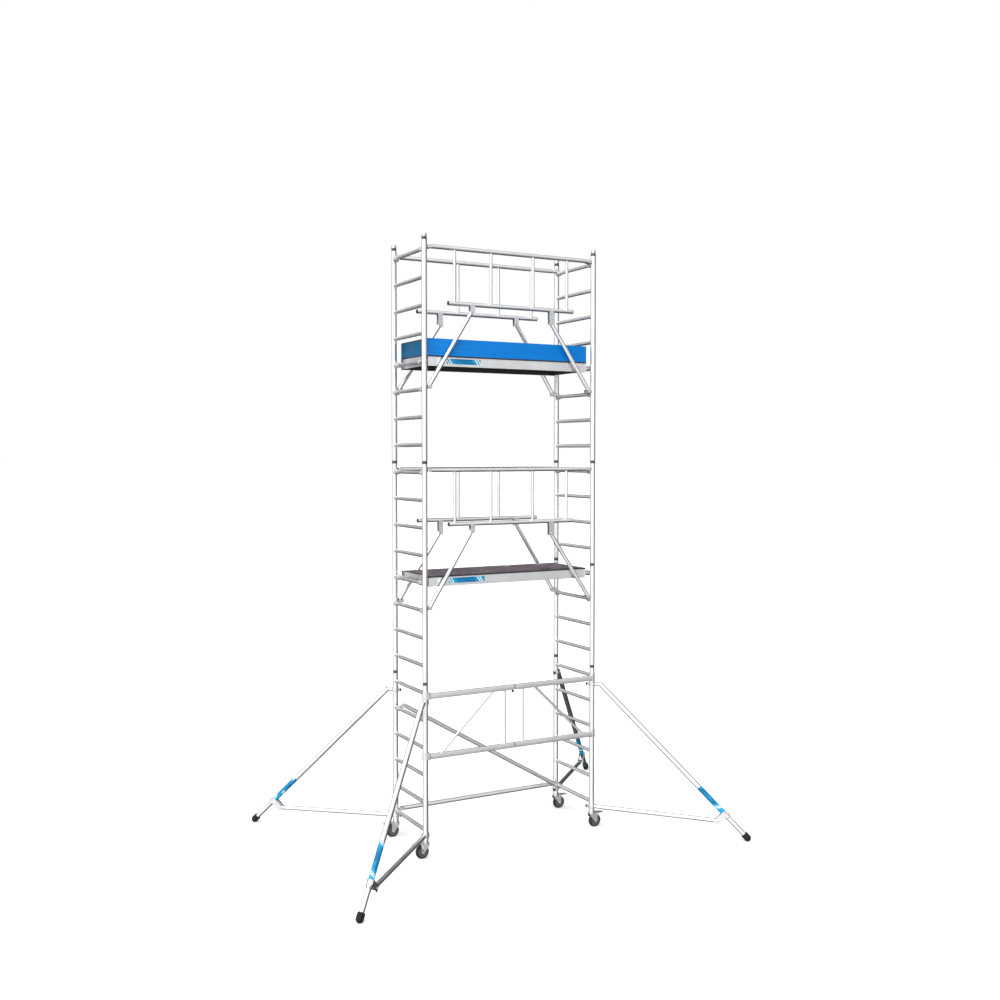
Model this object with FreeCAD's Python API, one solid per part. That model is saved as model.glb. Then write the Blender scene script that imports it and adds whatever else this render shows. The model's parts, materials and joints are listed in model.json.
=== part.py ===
import FreeCAD, Part
import math
import os

# Mobile aluminium scaffold tower with two platforms, guardrails and four stabilisers.
# Millimetres. X runs along the platforms, Y from front (-) to back (+), +Z is up.
# The origin is the middle of the tower's footprint, on the floor that the castors stand on.

# ---------------------------------------------------------------- driving dimensions
BAY_LENGTH = 1800.0          # between the stile axes of the two ladder ends, along X
FRAME_WIDTH = 675.0          # between the two stile axes of one ladder end, along Y
RUNG_PITCH = 250.0
FIRST_RUNG = 253.0           # height of the lowest rung's axis
BASE_RUNGS = 6
JOINT_ABOVE_RUNG = 92.0      # frame joint above the last rung of the frame below
TOP_RUNGS_LEFT = (8, 8)      # rungs of the frames stacked on the left base frame
TOP_RUNGS_RIGHT = (4, 4, 8)  # rungs of the frames stacked on the right base frame

STILE_DIAMETER = 50.0
RUNG_DIAMETER = 34.0
TUBE_WALL = 2.0
STILE_FOOT = 150.0           # height of the lower end of the base stiles
COLLAR_HEIGHT = 28.0         # black collar between two stacked stiles
COLLAR_INSET = 0.8           # the collar's surface sits this far inside the stile's
SPIGOT_STAND = 28.0          # spigot standing above the collar
SPIGOT_DEPTH = 120.0         # spigot held inside the lower stile
SPIGOT_CLEARANCE = 0.1       # radial, spigot in the stile that holds it
SPIGOT_LOOSE = 0.5           # radial, free end of the spigot in the next stile

RAIL_DIAMETER = 40.0         # guardrails, braces and stabiliser struts
BAR_DIAMETER = 28.0          # uprights of the guardrails
LEG_DIAMETER = 38.0          # sloping legs of the guardrails
RAIL_RISE = 24.0             # a rail's axis above the axis of the rung it hooks on
RAIL_END = 55.0              # a rail's end short of the stile axis
GUARD_DROP = 495.0           # middle rail below the top rail
GUARD_BAR_INSETS = (302.0, 676.0)   # uprights, from the stile axis
MIDDLE_RAIL_INSET = 240.0    # end of the middle rail, from the stile axis
LEG_HEAD_INSET = 479.0       # where the legs meet their brackets, from the stile axis
SHORT_BRACKET = 60.0         # leg head below the middle rail, short bracket
LONG_BRACKET = 115.0         # the same, long bracket
LEG_FOOT_INSET = 42.0        # leg foot short of the stile axis

DECK_RUNGS = (9, 17)         # rungs that carry the platforms
PLATFORM_SIDE_GAP = 12.5     # platform beside the stiles
BEAM_BOTTOM = -37.0          # platform beam, from the axis of the rung that carries it
BEAM_TOP = 58.0
BEAM_WIDTH = 22.0
DECK_THICKNESS = 12.0
HATCH_LENGTH = 601.0
HATCH_INSET = 157.0          # end of the hatch, from the stile axis
HATCH_GAP = 3.0
HATCH_LIFT = 0.3             # hatch above its ledges
HINGE_STRIP = 40.0           # fixed strip of deck behind the hatch
TOE_BOARD_HEIGHT = 154.0
TOE_BOARD_THICKNESS = 18.0

WHEEL_DIAMETER = 125.0
TYRE_WIDTH = 34.0
HUB_WIDTH = 48.4
CASTOR_TRAIL = 35.0          # wheel axle behind the swivel axis
AXLE_RADIUS = 6.0
RUNNING_CLEARANCE = 0.05     # radial, pins and axles in their bores
BODY_GAP = 0.3               # between pieces that move against each other

STABILISER_REACH = 1507.0    # stile axis to the middle of the rubber foot
UPPER_CLAMP = 1420.0
LOWER_CLAMP = 205.0
LEG_START = 85.0
ARM_DIAMETER = 50.0          # outer stabiliser leg
FOOT_TUBE_DIAMETER = 45.0    # inner, sliding stabiliser leg
FOOT_RADIUS = 33.0
STRUT_OUT = 1222.0
STRUT_OUT_HEIGHT = 172.0
ARM_END = 1325.0             # where the outer leg ends, along the floor
FOOT_TUBE_HELD = 330.0       # inner leg inside the outer one

PANEL_RAIL_HEIGHT = 50.0
PANEL_RAIL_DEPTH = 25.0
PANEL_UPPER = 1485.0
PANEL_LOWER = 935.0

STILE_R = STILE_DIAMETER / 2
RUNG_R = RUNG_DIAMETER / 2
RAIL_R = RAIL_DIAMETER / 2
HALF_BAY = BAY_LENGTH / 2
HALF_WIDTH = FRAME_WIDTH / 2
STILE_BORE_R = STILE_R - TUBE_WALL

V = FreeCAD.Vector
X_AXIS = V(1, 0, 0)
Y_AXIS = V(0, 1, 0)
Z_AXIS = V(0, 0, 1)

os.makedirs("parts", exist_ok=True)


# ---------------------------------------------------------------- shape helpers
def rod(start, end, radius):
    """Solid cylinder between two points."""
    run = end.sub(start)
    return Part.makeCylinder(radius, run.Length, start, run)


def tube(start, end, diameter, wall=TUBE_WALL):
    """Round tube between two points."""
    outer = rod(start, end, diameter / 2)
    return outer.cut(rod(start, end, diameter / 2 - wall))


def block(x0, x1, y0, y1, z0, z1):
    """Box between six planes, given in any order."""
    low = V(min(x0, x1), min(y0, y1), min(z0, z1))
    return Part.makeBox(abs(x1 - x0), abs(y1 - y0), abs(z1 - z0), low)


def channel(x0, x1, y0, y1, z0, z1, wall=TUBE_WALL):
    """Rectangular tube along X."""
    outer = block(x0, x1, y0, y1, z0, z1)
    return outer.cut(block(x0, x1, y0 + wall, y1 - wall, z0 + wall, z1 - wall))


def plate(points, thickness, direction):
    """Flat plate: a closed outline pushed along a direction."""
    outline = Part.makePolygon(points + [points[0]])
    return Part.Face(outline).extrude(direction * thickness)


def moved(shape, x=0.0, y=0.0, z=0.0):
    copy = shape.copy()
    copy.translate(V(x, y, z))
    return copy


def turned(shape, angle, centre=V(0, 0, 0), axis=Z_AXIS):
    copy = shape.copy()
    copy.rotate(centre, axis, angle)
    return copy


def save(name, solids):
    """Write one named piece, made of one or more solids."""
    shape = solids[0] if len(solids) == 1 else Part.makeCompound(solids)
    shape.exportStep("parts/" + name + ".step")


def rung_height(index):
    return FIRST_RUNG + index * RUNG_PITCH


# ---------------------------------------------------------------- ladder frames
def make_rung():
    """Rung between two stiles, its ends saddled to their round walls, at height 0."""
    rung = tube(V(0, -HALF_WIDTH, 0), V(0, HALF_WIDTH, 0), RUNG_DIAMETER)
    for side in (-1, 1):
        foot = V(0, side * HALF_WIDTH, -RUNG_DIAMETER)
        rung = rung.cut(Part.makeCylinder(STILE_R, 2 * RUNG_DIAMETER, foot))
    return rung


def ladder_frame(x, bottom, top, rungs):
    """Two stiles from bottom to top, and the rungs with the given numbers."""
    stiles = [tube(V(x, y, bottom), V(x, y, top), STILE_DIAMETER) for y in (-HALF_WIDTH, HALF_WIDTH)]
    return stiles + [moved(RUNG, x, 0, rung_height(i)) for i in rungs]


RUNG = make_rung()
HALF_COLLAR = COLLAR_HEIGHT / 2
base_joint = rung_height(BASE_RUNGS - 1) + JOINT_ABOVE_RUNG
joints_at = {-1: [base_joint], 1: [base_joint]}
frame_names = {
    -1: ("frame_left_middle", "frame_left_top"),
    1: ("frame_right_lower", "frame_right_middle", "frame_right_top"),
}
for side, base_name in ((-1, "base_frame_left"), (1, "base_frame_right")):
    x = side * HALF_BAY
    save(base_name, ladder_frame(x, STILE_FOOT, base_joint - HALF_COLLAR, range(BASE_RUNGS)))
    below = base_joint
    first = BASE_RUNGS
    counts = TOP_RUNGS_LEFT if side < 0 else TOP_RUNGS_RIGHT
    for name, count in zip(frame_names[side], counts):
        above = below + count * RUNG_PITCH
        numbers = range(first, first + count)
        save(name, ladder_frame(x, below + HALF_COLLAR, above - HALF_COLLAR, numbers))
        joints_at[side].append(above)
        below = above
        first += count

# Each stile top holds a spigot, riveted in, with a black collar that the next stile stands on.
SPIGOT_R = STILE_BORE_R - SPIGOT_CLEARANCE
SPIGOT_WALL = 3.0
RIVET_RADIUS = 4.0
RIVET_HEAD = 6.5
RIVET_DROP = 45.0            # rivet below the joint
spigots = []
collars = []
rivets = []
for side in (-1, 1):
    for joint in joints_at[side]:
        for y in (-HALF_WIDTH, HALF_WIDTH):
            at = V(side * HALF_BAY, y, joint)
            top = at + Z_AXIS * (HALF_COLLAR + SPIGOT_STAND)
            bottom = at - Z_AXIS * (HALF_COLLAR + SPIGOT_DEPTH)
            cross_start = at + V(-STILE_R - 2, 0, -RIVET_DROP)
            cross_end = at + V(STILE_R + 2, 0, -RIVET_DROP)
            pin = rod(cross_start, cross_end, RIVET_RADIUS)
            low = at - Z_AXIS * HALF_COLLAR
            high = at + Z_AXIS * HALF_COLLAR
            waste = rod(high, top, STILE_BORE_R).cut(rod(high, top, STILE_BORE_R - SPIGOT_LOOSE))
            spigots.append(tube(bottom, top, 2 * SPIGOT_R, SPIGOT_WALL).cut(pin).cut(waste))
            collar = rod(low, high, STILE_R - COLLAR_INSET).cut(rod(low, high, SPIGOT_R))
            collars.append(collar)
            for face in (-1, 1):
                head_foot = at + V(face * (STILE_R - 0.5), 0, -RIVET_DROP)
                head = Part.makeCylinder(RIVET_HEAD, 2.5, head_foot, X_AXIS * face)
                stile = Part.makeCylinder(STILE_R, 40, at + V(0, 0, -RIVET_DROP - 20))
                rivets.append(head.cut(stile))
save("spigots", spigots)
save("spigot_collars", collars)
save("spigot_rivets", rivets)


# ---------------------------------------------------------------- claws
CLAW_WIDTH = 28.0
CLAW_WALL = 9.0
CLAW_CLEARANCE = 0.3
CLAW_DEPTH = RUNG_R + 1.0    # claw arms below the rung's axis
STILE_GAP = 4.5              # claw beside the stile
CLAW_GRIP = 12.0             # length of tube held in the casting
NECK_HALF = 16.0             # half height of the block on the tube
NECK_GAP = 2.0               # block in front of the stile's wall
LATCH_WIDTH = 10.0
LATCH_HEIGHT = 7.0
TRIGGER_LENGTH = 16.0
CLAW_Y = HALF_WIDTH - STILE_R - STILE_GAP - CLAW_WIDTH / 2


def claw(side, y_hook, y_tube, rung, tubes):
    """Cast claw: an upside-down U over the rung, and a block that takes the end of a tube."""
    x = side * HALF_BAY
    inner = RUNG_R + CLAW_CLEARANCE
    outer = inner + CLAW_WALL
    y0 = y_hook - CLAW_WIDTH / 2
    crown = Part.makeCylinder(outer, CLAW_WIDTH, V(x, y0, rung), Y_AXIS)
    crown = crown.cut(block(x - outer, x + outer, y0, y0 + CLAW_WIDTH, rung - outer, rung))
    arms = block(x - outer, x + outer, y0, y0 + CLAW_WIDTH, rung - CLAW_DEPTH, rung)
    neck_y = (min(y0, y_tube - RAIL_R), max(y0 + CLAW_WIDTH, y_tube + RAIL_R))
    neck_in = x - side * (RAIL_END + CLAW_GRIP)
    neck_out = x - side * (STILE_R + NECK_GAP)
    middle = rung + RAIL_RISE
    neck = block(neck_in, neck_out, neck_y[0], neck_y[1], middle - NECK_HALF, middle + NECK_HALF)
    shank = block(neck_out, x, y0, y0 + CLAW_WIDTH, rung, middle)
    body = crown.fuse([arms, neck, shank])
    body = body.cut(Part.makeCylinder(inner, 2 * CLAW_WIDTH, V(x, y0 - CLAW_WIDTH / 2, rung), Y_AXIS))
    mouth = block(x - inner, x + inner, y0 - 1, y0 + CLAW_WIDTH + 1, rung - CLAW_DEPTH - 1, rung)
    body = body.cut(mouth)
    for piece in tubes:
        body = body.cut(piece)
    latch_y = (y_hook - LATCH_WIDTH / 2, y_hook + LATCH_WIDTH / 2)
    latch = block(x - inner, x + inner, latch_y[0], latch_y[1], rung - inner - LATCH_HEIGHT, rung - inner)
    trigger = block(x - side * inner, x - side * (inner + TRIGGER_LENGTH), latch_y[0], latch_y[1],
                    rung - inner - LATCH_HEIGHT - 1, rung - CLAW_DEPTH)
    return [body.removeSplitter(), latch.fuse(trigger).removeSplitter()]


# ---------------------------------------------------------------- guardrail frames
BRACKET_WIDTH = 48.0
BRACKET_WALL = 3.0
BRACKET_SKIRT = 22.0         # bracket below the leg's bolt
BOLT_RADIUS = 5.0
BOLT_STAND = 5.0             # bolt standing out of a bracket
PLUG_DEPTH = 25.0
PLUG_HEAD = 6.0


def guard_frame(deck_rung):
    """Front guardrail frame of the platform on the given rung, and its claws and plugs."""
    y = -HALF_WIDTH
    top = rung_height(deck_rung + 4) + RAIL_RISE
    middle = top - GUARD_DROP
    end = HALF_BAY - RAIL_END
    middle_end = HALF_BAY - MIDDLE_RAIL_INSET
    foot_z = rung_height(deck_rung - 1) + RAIL_RISE
    top_solid = rod(V(-end, y, top), V(end, y, top), RAIL_R)
    middle_solid = rod(V(-middle_end, y, middle), V(middle_end, y, middle), RAIL_R)
    solids = [
        tube(V(-end, y, top), V(end, y, top), RAIL_DIAMETER),
        tube(V(-middle_end, y, middle), V(middle_end, y, middle), RAIL_DIAMETER),
    ]
    for inset in GUARD_BAR_INSETS:
        for x in (inset - HALF_BAY, HALF_BAY - inset):
            bar = tube(V(x, y, middle), V(x, y, top), BAR_DIAMETER)
            solids.append(bar.cut(top_solid).cut(middle_solid))
    claws = claw_pair(y, rung_height(deck_rung + 4), [top_solid])
    for side, drop in ((-1, SHORT_BRACKET), (1, LONG_BRACKET)):
        head = V(side * (HALF_BAY - LEG_HEAD_INSET), y, middle - drop)
        foot = V(side * (HALF_BAY - LEG_FOOT_INSET), y, foot_z)
        leg_solid = rod(head, foot, LEG_DIAMETER / 2)
        solids.append(tube(head, foot, LEG_DIAMETER))
        half = RAIL_R + BRACKET_WALL
        centre = V(head.x - BRACKET_WIDTH / 2, y, middle)
        strap = Part.makeCylinder(half, BRACKET_WIDTH, centre, X_AXIS)
        low = middle - drop - BRACKET_SKIRT
        skirt = block(centre.x, centre.x + BRACKET_WIDTH, y - half, y + half, low, middle)
        inside = block(centre.x, centre.x + BRACKET_WIDTH, y - RAIL_R, y + RAIL_R, low, middle)
        saddle = strap.fuse(skirt).cut(inside).cut(middle_solid)
        bolt_half = half + BOLT_STAND
        bolt = rod(V(head.x, y - bolt_half, head.z), V(head.x, y + bolt_half, head.z), BOLT_RADIUS)
        saddle = saddle.cut(bolt)
        solids[-1] = solids[-1].cut(bolt)
        solids += [saddle.removeSplitter(), bolt]
        claws += claw(side, -CLAW_Y, y, rung_height(deck_rung - 1), [leg_solid])
    plugs = []
    for side in (-1, 1):
        inner_end = V(side * (middle_end - PLUG_DEPTH), y, middle)
        face = V(side * middle_end, y, middle)
        cap_end = V(side * (middle_end + PLUG_HEAD), y, middle)
        plug = rod(inner_end, face, RAIL_R - TUBE_WALL).fuse(rod(face, cap_end, RAIL_R))
        plugs.append(plug.removeSplitter())
    return solids, claws, plugs


def claw_pair(y_tube, rung, tubes):
    hook_y = math.copysign(CLAW_Y, y_tube)
    return claw(-1, hook_y, y_tube, rung, tubes) + claw(1, hook_y, y_tube, rung, tubes)


guard_claws = []
plugs = []
for level, deck_rung in zip(("lower", "upper"), DECK_RUNGS):
    front, claws, ends = guard_frame(deck_rung)
    save("guard_front_" + level, front)
    save("guard_back_" + level, [turned(s, 180) for s in front])
    guard_claws += claws + [turned(s, 180) for s in claws]
    plugs += ends + [turned(s, 180) for s in ends]
save("guard_claws", guard_claws)
save("guard_end_plugs", plugs)


# ---------------------------------------------------------------- braces at the back
BRACE_GAP = 3.0              # between the two braces
level_y = CLAW_Y
slope_y = CLAW_Y - RAIL_DIAMETER - BRACE_GAP
bottom_rung = rung_height(0)
high_rung = rung_height(4)
level_start = V(-HALF_BAY + RAIL_END, level_y, bottom_rung + RAIL_RISE)
level_end = V(HALF_BAY - RAIL_END, level_y, bottom_rung + RAIL_RISE)
slope_start = V(-HALF_BAY + RAIL_END, slope_y, high_rung + RAIL_RISE)
slope_end = V(HALF_BAY - RAIL_END, slope_y, bottom_rung + RAIL_RISE)
save("horizontal_brace", [tube(level_start, level_end, RAIL_DIAMETER)])
save("diagonal_brace", [tube(slope_start, slope_end, RAIL_DIAMETER)])
level_solid = rod(level_start, level_end, RAIL_R)
slope_solid = rod(slope_start, slope_end, RAIL_R)
brace_claws = []
for side in (-1, 1):
    brace_claws += claw(side, level_y, level_y, bottom_rung, [level_solid])
brace_claws += claw(-1, slope_y, slope_y, high_rung, [slope_solid])
brace_claws += claw(1, slope_y, slope_y, bottom_rung, [slope_solid])
save("brace_claws", brace_claws)


# ---------------------------------------------------------------- folding base panel
PANEL_GAP = 0.5              # panel in front of the stiles
PANEL_Y = -(HALF_WIDTH + STILE_R + PANEL_GAP + PANEL_RAIL_DEPTH / 2)
PIN_RADIUS = 5.0
KNUCKLE_RADIUS = 9.0
END_PIN_X = HALF_BAY - 18.0  # hinge pin beside each stile
PANEL_BAR_X = 98.0
PANEL_BAR_DIAMETER = 24.0
SLOPE_TOP_X = 235.0          # head of the sloping bar
SLOPE_FOOT_X = END_PIN_X - 129.0
CLAMP_WALL = 6.0
CLAMP_WRAP = 4.0             # the clamp half shell reaches this far past the stile's axis
EAR = 6.0                    # thickness of a hinge ear
EAR_GAP = 0.5
LOCK_X = -13.0
LOCK_PIN_RADIUS = 4.0
LOCK_PLUG = 40.0
LOCK_DROP = 15.0             # middle of the lock's ball below the upper rail
LOCK_TIP = 8.0               # lock pin above the middle of the rail
BALL_RADIUS = 12.0
PIN_STAND = 3.0              # hinge pin past its ears
PIN_HEAD = 3.0               # head of a hinge pin, wider than the pin


def panel_half(side):
    """One half of the panel: two rails, an upright, a sloping bar and the hinge knuckles."""
    solids = []
    half_height = PANEL_RAIL_HEIGHT / 2
    y0 = PANEL_Y - PANEL_RAIL_DEPTH / 2
    y1 = PANEL_Y + PANEL_RAIL_DEPTH / 2
    inner_x = side * (KNUCKLE_RADIUS - 1)
    outer_x = side * (END_PIN_X - KNUCKLE_RADIUS + 1)
    centre_axis = V(0, PANEL_Y, 0)
    lock_foot = V(LOCK_X, PANEL_Y, PANEL_UPPER - PANEL_RAIL_HEIGHT)
    lock_head = V(LOCK_X, PANEL_Y, PANEL_UPPER + 2 * LOCK_TIP)
    lock_bore = rod(lock_foot, lock_head, LOCK_PIN_RADIUS + RUNNING_CLEARANCE)
    for z in (PANEL_UPPER, PANEL_LOWER):
        barrel = Part.makeCylinder(KNUCKLE_RADIUS, PANEL_RAIL_HEIGHT, centre_axis + V(0, 0, z - half_height))
        end_pin = V(side * END_PIN_X, PANEL_Y, z - half_height)
        knuckle = Part.makeCylinder(KNUCKLE_RADIUS, PANEL_RAIL_HEIGHT, end_pin)
        bore = Part.makeCylinder(PIN_RADIUS + RUNNING_CLEARANCE, PANEL_RAIL_HEIGHT, end_pin)
        x0, x1 = sorted((inner_x, outer_x))
        rail = channel(x0, x1, y0, y1, z - half_height, z + half_height)
        rail = rail.cut(barrel).cut(knuckle)
        if z == PANEL_UPPER and side < 0:
            rail = rail.cut(lock_bore)
            plug = block(-KNUCKLE_RADIUS, -KNUCKLE_RADIUS - LOCK_PLUG, y0 + TUBE_WALL, y1 - TUBE_WALL,
                         z - half_height + TUBE_WALL, z + half_height - TUBE_WALL)
            solids.append(plug.cut(barrel).cut(lock_bore))
        solids += [rail, knuckle.cut(bore)]
    low = PANEL_LOWER + half_height
    high = PANEL_UPPER - half_height
    bar_x = side * PANEL_BAR_X
    solids.append(tube(V(bar_x, PANEL_Y, low), V(bar_x, PANEL_Y, high), PANEL_BAR_DIAMETER))
    slope_top = V(side * SLOPE_TOP_X, PANEL_Y, high)
    slope_foot = V(side * SLOPE_FOOT_X, PANEL_Y, low)
    run = slope_foot.sub(slope_top).normalize()
    start = slope_top - run * PANEL_BAR_DIAMETER
    end = slope_foot + run * PANEL_BAR_DIAMETER
    slope = tube(start, end, PANEL_BAR_DIAMETER)
    solids.append(slope.common(block(-HALF_BAY, HALF_BAY, y0, y1, low, high)))
    return solids


def panel_hinges():
    """Stile clamps with clevis ears and pins, and the barrels of the middle hinge."""
    solids = []
    half_height = PANEL_RAIL_HEIGHT / 2
    reach = half_height + EAR_GAP + EAR
    for z in (PANEL_UPPER, PANEL_LOWER):
        for side in (-1, 1):
            stile = V(side * HALF_BAY, -HALF_WIDTH, z - reach)
            ring = Part.makeCylinder(STILE_R + CLAMP_WALL, 2 * reach, stile)
            pin_x = side * END_PIN_X
            ears = block(side * (HALF_BAY + EAR), pin_x, PANEL_Y - KNUCKLE_RADIUS, -HALF_WIDTH,
                         z - reach, z + reach)
            nose = Part.makeCylinder(KNUCKLE_RADIUS, 2 * reach, V(pin_x, PANEL_Y, z - reach))
            cheek = block(side * (HALF_BAY - STILE_R - CLAMP_WALL), pin_x, PANEL_Y, -HALF_WIDTH,
                          z - reach, z + reach)
            slot = block(side * (HALF_BAY - KNUCKLE_RADIUS + 2), side * (HALF_BAY - 2 * STILE_R),
                         PANEL_Y - 2 * KNUCKLE_RADIUS, PANEL_Y + PANEL_RAIL_DEPTH / 2 + EAR_GAP,
                         z - half_height - EAR_GAP, z + half_height + EAR_GAP)
            swing = Part.makeCylinder(KNUCKLE_RADIUS + EAR_GAP, 2 * (half_height + EAR_GAP),
                                      V(pin_x, PANEL_Y, z - half_height - EAR_GAP))
            high = z + reach + PIN_STAND
            pin = rod(V(pin_x, PANEL_Y, z - reach - PIN_STAND), V(pin_x, PANEL_Y, high), PIN_RADIUS)
            head = rod(V(pin_x, PANEL_Y, z + reach), V(pin_x, PANEL_Y, high), PIN_RADIUS + PIN_HEAD)
            clamp = ring.fuse([ears, nose, cheek])
            behind = block(side * (HALF_BAY - 3 * STILE_R), side * (HALF_BAY + 3 * STILE_R),
                           -HALF_WIDTH + CLAMP_WRAP, -HALF_WIDTH + 3 * STILE_R, z - reach, z + reach)
            clamp = clamp.cut(slot).cut(swing).cut(behind)
            clamp = clamp.cut(Part.makeCylinder(STILE_R, 2 * reach, stile)).cut(pin)
            solids += [clamp.removeSplitter(), pin.fuse(head).removeSplitter()]
        barrel = Part.makeCylinder(KNUCKLE_RADIUS, PANEL_RAIL_HEIGHT, V(0, PANEL_Y, z - half_height))
        top = Part.makeCylinder(KNUCKLE_RADIUS - 2, 5, V(0, PANEL_Y, z + half_height))
        solids.append(barrel.fuse(top).removeSplitter())
    return solids


save("fold_panel_left", panel_half(-1))
save("fold_panel_right", panel_half(1))
save("fold_hinges", panel_hinges())
knob_centre = V(LOCK_X, PANEL_Y, PANEL_UPPER - PANEL_RAIL_HEIGHT / 2 - LOCK_DROP)
lock_tip = V(LOCK_X, PANEL_Y, PANEL_UPPER + LOCK_TIP)
lock_knob = Part.makeSphere(BALL_RADIUS, knob_centre).fuse(rod(knob_centre, lock_tip, LOCK_PIN_RADIUS))
save("fold_lock_knob", [lock_knob.removeSplitter()])


# ---------------------------------------------------------------- platforms
BEAM_LIP = 12.0
LIP_OUT = 5.0
LEDGE = 18.0
LEDGE_THICKNESS = 4.0
BEAM_END = HALF_BAY - RAIL_END
CROSS_WIDTH = 25.0
CROSS_HEIGHT = 36.0
END_BEAM_WIDTH = 32.0
PLATFORM_CLAW_WIDTH = 34.0
PLATFORM_CLAW_INSET = 26.0   # middle of a claw inside the beam's inner face
LOCK_THICKNESS = 6.0         # wind locks
LOCK_LEVER = 52.0
LEVER_WIDTH = 22.0
LEVER_INSET = 75.0           # lever from the end of the beam
GRIP_RADIUS = 14.0           # hand slot in the hatch
GRIP_HALF = 40.0
GRIP_INSET = 60.0
LEAF_WIDTH = 26.0            # hinge leaf beside its knuckle
HINGE_INSET = 110.0          # hinge from the end of the hatch
BEAM_WALL = 2.5
HINGE_RADIUS = 5.0
HINGE_PIN_RADIUS = 2.5
HINGE_LEAF = 2.0
HINGE_LENGTH = 80.0
HATCH_END = HALF_BAY - HATCH_INSET
HATCH_START = HATCH_END - HATCH_LENGTH
BEAM_Y = HALF_WIDTH - STILE_R - PLATFORM_SIDE_GAP - 2 - BEAM_WIDTH
PLATFORM_CLAW_Y = BEAM_Y - PLATFORM_CLAW_INSET
DECK_HALF = BEAM_Y - LIP_OUT - BODY_GAP
HATCH_BACK = DECK_HALF - HINGE_STRIP - HATCH_GAP
HATCH_FRONT = -DECK_HALF + HATCH_GAP
HINGE_Y = HATCH_BACK + HATCH_GAP / 2
HINGE_RISE = HINGE_RADIUS + BODY_GAP
HINGES_X = (HATCH_START + HINGE_INSET, HATCH_END - HINGE_INSET)


def side_beam(z):
    """Back side beam: hollow web, a lip that frames the deck and a ledge below the deck."""
    y = BEAM_Y
    web = channel(-BEAM_END, BEAM_END, y, y + BEAM_WIDTH, z + BEAM_BOTTOM,
                  z + BEAM_TOP - BEAM_LIP, BEAM_WALL)
    lip = channel(-BEAM_END, BEAM_END, y - LIP_OUT, y + BEAM_WIDTH + LIP_OUT,
                  z + BEAM_TOP - BEAM_LIP, z + BEAM_TOP, BEAM_WALL)
    top = z + BEAM_TOP - DECK_THICKNESS
    ledge = block(-BEAM_END, BEAM_END, y - LEDGE, y, top - LEDGE_THICKNESS, top)
    return web.fuse([lip, ledge]).removeSplitter()


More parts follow.
